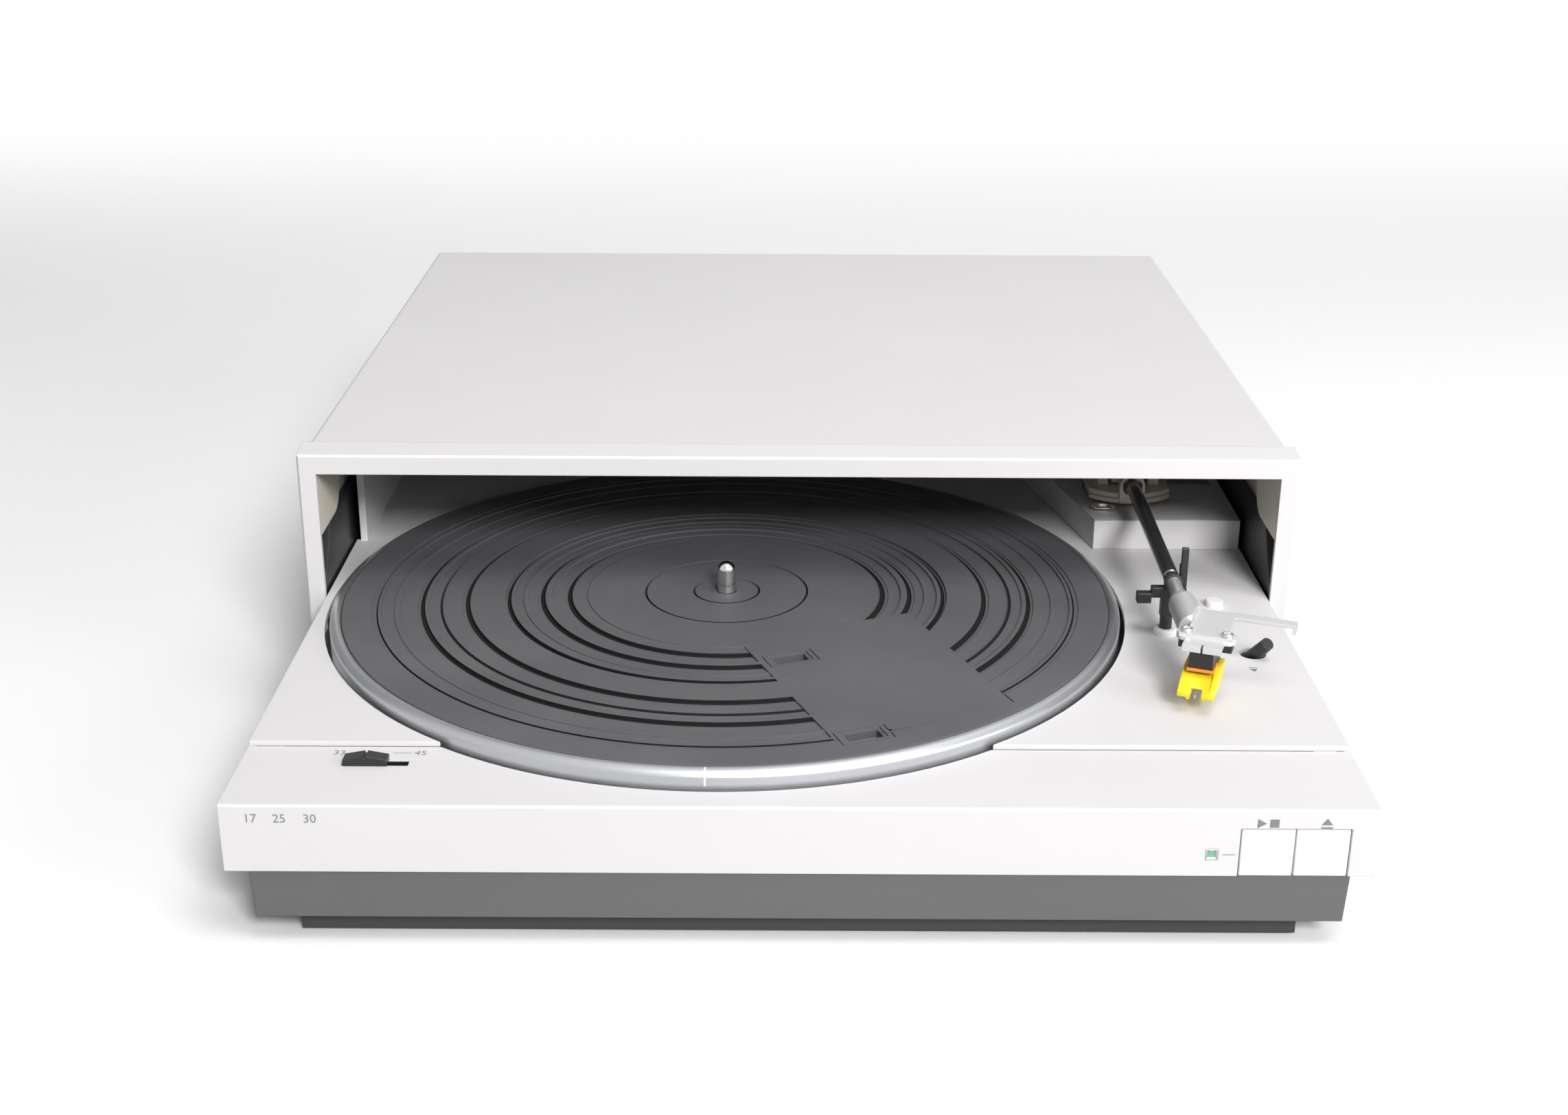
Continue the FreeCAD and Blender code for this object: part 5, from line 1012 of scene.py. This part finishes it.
def place_screws(name, places, radius, height, slot_width, body, stands_for):
    """Cross head screws at (point, facing) pairs, as one plain mesh."""
    mesh = bpy.data.meshes.new(name)
    mesh.from_pydata([point for point, _ in places], [], [])
    attribute = mesh.attributes.new("facing", "FLOAT_VECTOR", "POINT")
    for item, (_, facing) in zip(attribute.data, places):
        item.vector = facing
    result = run_tree(mesh, screws, {"Radius": radius * 0.001, "Height": height * 0.001,
                                     "Slot width": slot_width * 0.001, "Finish": finishes["plated_screw"]})
    new_piece(name, shade(result, 40.0), body, "plated_screw", stands_for)


cover_screw_radius = 0.0032
cover_screw_sunk = 0.0010
low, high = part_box("cover_screws")
side_places = [(Vector((x - side * cover_screw_sunk, (low.y + high.y) / 2, z)), (side, 0, 0))
               for side, x in ((-1, low.x), (1, high.x))
               for z in (low.z + cover_screw_radius, high.z - cover_screw_radius)]
place_screws("side_screws", side_places, 3.1, 1.1, 0.7, "housing", ("cover_screws",))

head_angle = math.radians(head_turn)
cross = Vector((math.cos(head_angle), math.sin(head_angle), 0)) * screw_reach * 0.001
head_places = [(spot(*head_middle, shell_top + 0.55) + cross * side, (0, 0, 1)) for side in (-1, 1)]
place_screws("head_screws", head_places, 2.1, 0.9, 0.5, "tonearm", ("shell_screws",))

# Stage, lights and camera, in metres
table_colour = (0.90, 0.90, 0.90)
table_share = 0.55
fade_start, fade_end = 0.45, 1.3
table_front, table_half, sweep_start, sweep_radius, sweep_steps, backdrop_top = -3.0, 6.0, 1.5, 0.5, 12, 4.0
ambient_strength = 0.2


def table_material():
    """A pale matt table, darker in what it throws back, that runs out into plain white behind the object."""
    material = bpy.data.materials.new("pale table")
    material.use_nodes = True
    tree = material.node_tree
    shader = tree.nodes["Principled BSDF"]
    shader.inputs["Roughness"].default_value = 0.6
    place = tree_node(tree, "ShaderNodeTexCoord").outputs["Object"]
    far = tree_node(tree, "ShaderNodeMapRange", [
        ("Value", separated(tree, place)[1]), ("From Min", fade_start), ("From Max", fade_end)],
        interpolation_type="SMOOTHSTEP")
    seen = tree_node(tree, "ShaderNodeLightPath").outputs["Is Camera Ray"]
    shown = mix_colour(tree, seen, tuple(c * table_share for c in table_colour), table_colour)
    tree.links.new(shown, shader.inputs["Base Color"])
    white = tree_node(tree, "ShaderNodeEmission")
    faded = product(tree, far.outputs[0], seen)
    choice = tree_node(tree, "ShaderNodeMixShader", [
        (0, faded), (1, shader.outputs[0]), (2, white.outputs[0])])
    tree.links.new(choice.outputs[0], tree.nodes["Material Output"].inputs["Surface"])
    return material


def make_stage():
    """A pale table that sweeps up into a backdrop."""
    bm = bmesh.new()
    turns = [math.pi / 2 * k / sweep_steps for k in range(1, sweep_steps + 1)]
    sweep = [(table_front, 0.0), (sweep_start, 0.0)]
    sweep += [(sweep_start + sweep_radius * math.sin(a), sweep_radius - sweep_radius * math.cos(a))
              for a in turns]
    sweep.append((sweep_start + sweep_radius, backdrop_top))
    rows = [[bm.verts.new((x, y, z)) for x in (-table_half, table_half)] for y, z in sweep]
    for low_row, high_row in zip(rows, rows[1:]):
        bm.faces.new((low_row[0], low_row[1], high_row[1], high_row[0]))
    mesh = taken(bm, "stage")
    mesh.shade_smooth()
    mesh.materials.append(table_material())
    linked("pale_table", mesh)


def lamp(name, place, target, size, power):
    light = bpy.data.lights.new(name, "AREA")
    light.shape = "RECTANGLE"
    light.size, light.size_y = size
    light.energy = power
    holder = linked(name, light)
    holder.location = place
    holder.rotation_euler = (Vector(target) - Vector(place)).to_track_quat("-Z", "Y").to_euler()


def make_world():
    """Pale all round for the camera and for mirrors, and a weak even light for everything else."""
    world = bpy.data.worlds.new("studio")
    world.use_nodes = True
    bpy.context.scene.world = world
    tree = world.node_tree
    ambient = tree.nodes["Background"]
    ambient.inputs["Color"].default_value = (1.0, 1.0, 1.0, 1.0)
    ambient.inputs["Strength"].default_value = ambient_strength
    pale = tree_node(tree, "ShaderNodeBackground", [("Strength", 1.0)])
    rays = tree_node(tree, "ShaderNodeLightPath").outputs
    direct = math_node(tree, "MAXIMUM", rays["Is Camera Ray"], rays["Is Glossy Ray"])
    direct = math_node(tree, "MAXIMUM", direct, rays["Is Transmission Ray"])
    choice = tree_node(tree, "ShaderNodeMixShader", [
        (0, direct), (1, ambient.outputs[0]), (2, pale.outputs[0])])
    tree.links.new(choice.outputs[0], tree.nodes["World Output"].inputs["Surface"])


make_stage()
lamp("key lamp", (0.84, -2.58, 1.74), (0.0, -0.02, 0.05), (0.8, 0.7), 82)
lamp("overhead lamp", (0.5, -0.75, 2.3), (0, 0.0, 0.1), (1.4, 1.2), 26)
lamp("back lamp", (0.5, 0.9, 1.7), (0, 0.05, 0.1), (1.6, 1.2), 4)
lamp("right lamp", (1.3, -0.9, 0.65), (0.1, -0.1, 0.05), (0.8, 0.6), 9)
make_world()

# The camera's place and angles, as they were fitted to the picture
camera_spot = spot(-5.92, -583.03, 369.06)
pitch, roll, turn = 0.37788, 0.0053, 0.0005
ahead = Vector((math.sin(turn) * math.cos(pitch), math.cos(turn) * math.cos(pitch), -math.sin(pitch)))
level_right = Vector((math.cos(turn), -math.sin(turn), 0.0))
level_up = level_right.cross(ahead)
right = math.cos(roll) * level_right + math.sin(roll) * level_up
up = -math.sin(roll) * level_right + math.cos(roll) * level_up
camera = bpy.data.cameras.new("camera")
camera.lens = 47.25
camera.sensor_width = 36.0
camera.sensor_fit = "HORIZONTAL"
holder = linked("camera", camera)
holder.matrix_world = Matrix.Translation(camera_spot) @ Matrix((right, up, -ahead)).transposed().to_4x4()
bpy.context.scene.camera = holder
bpy.context.scene.view_settings.view_transform = "Standard"
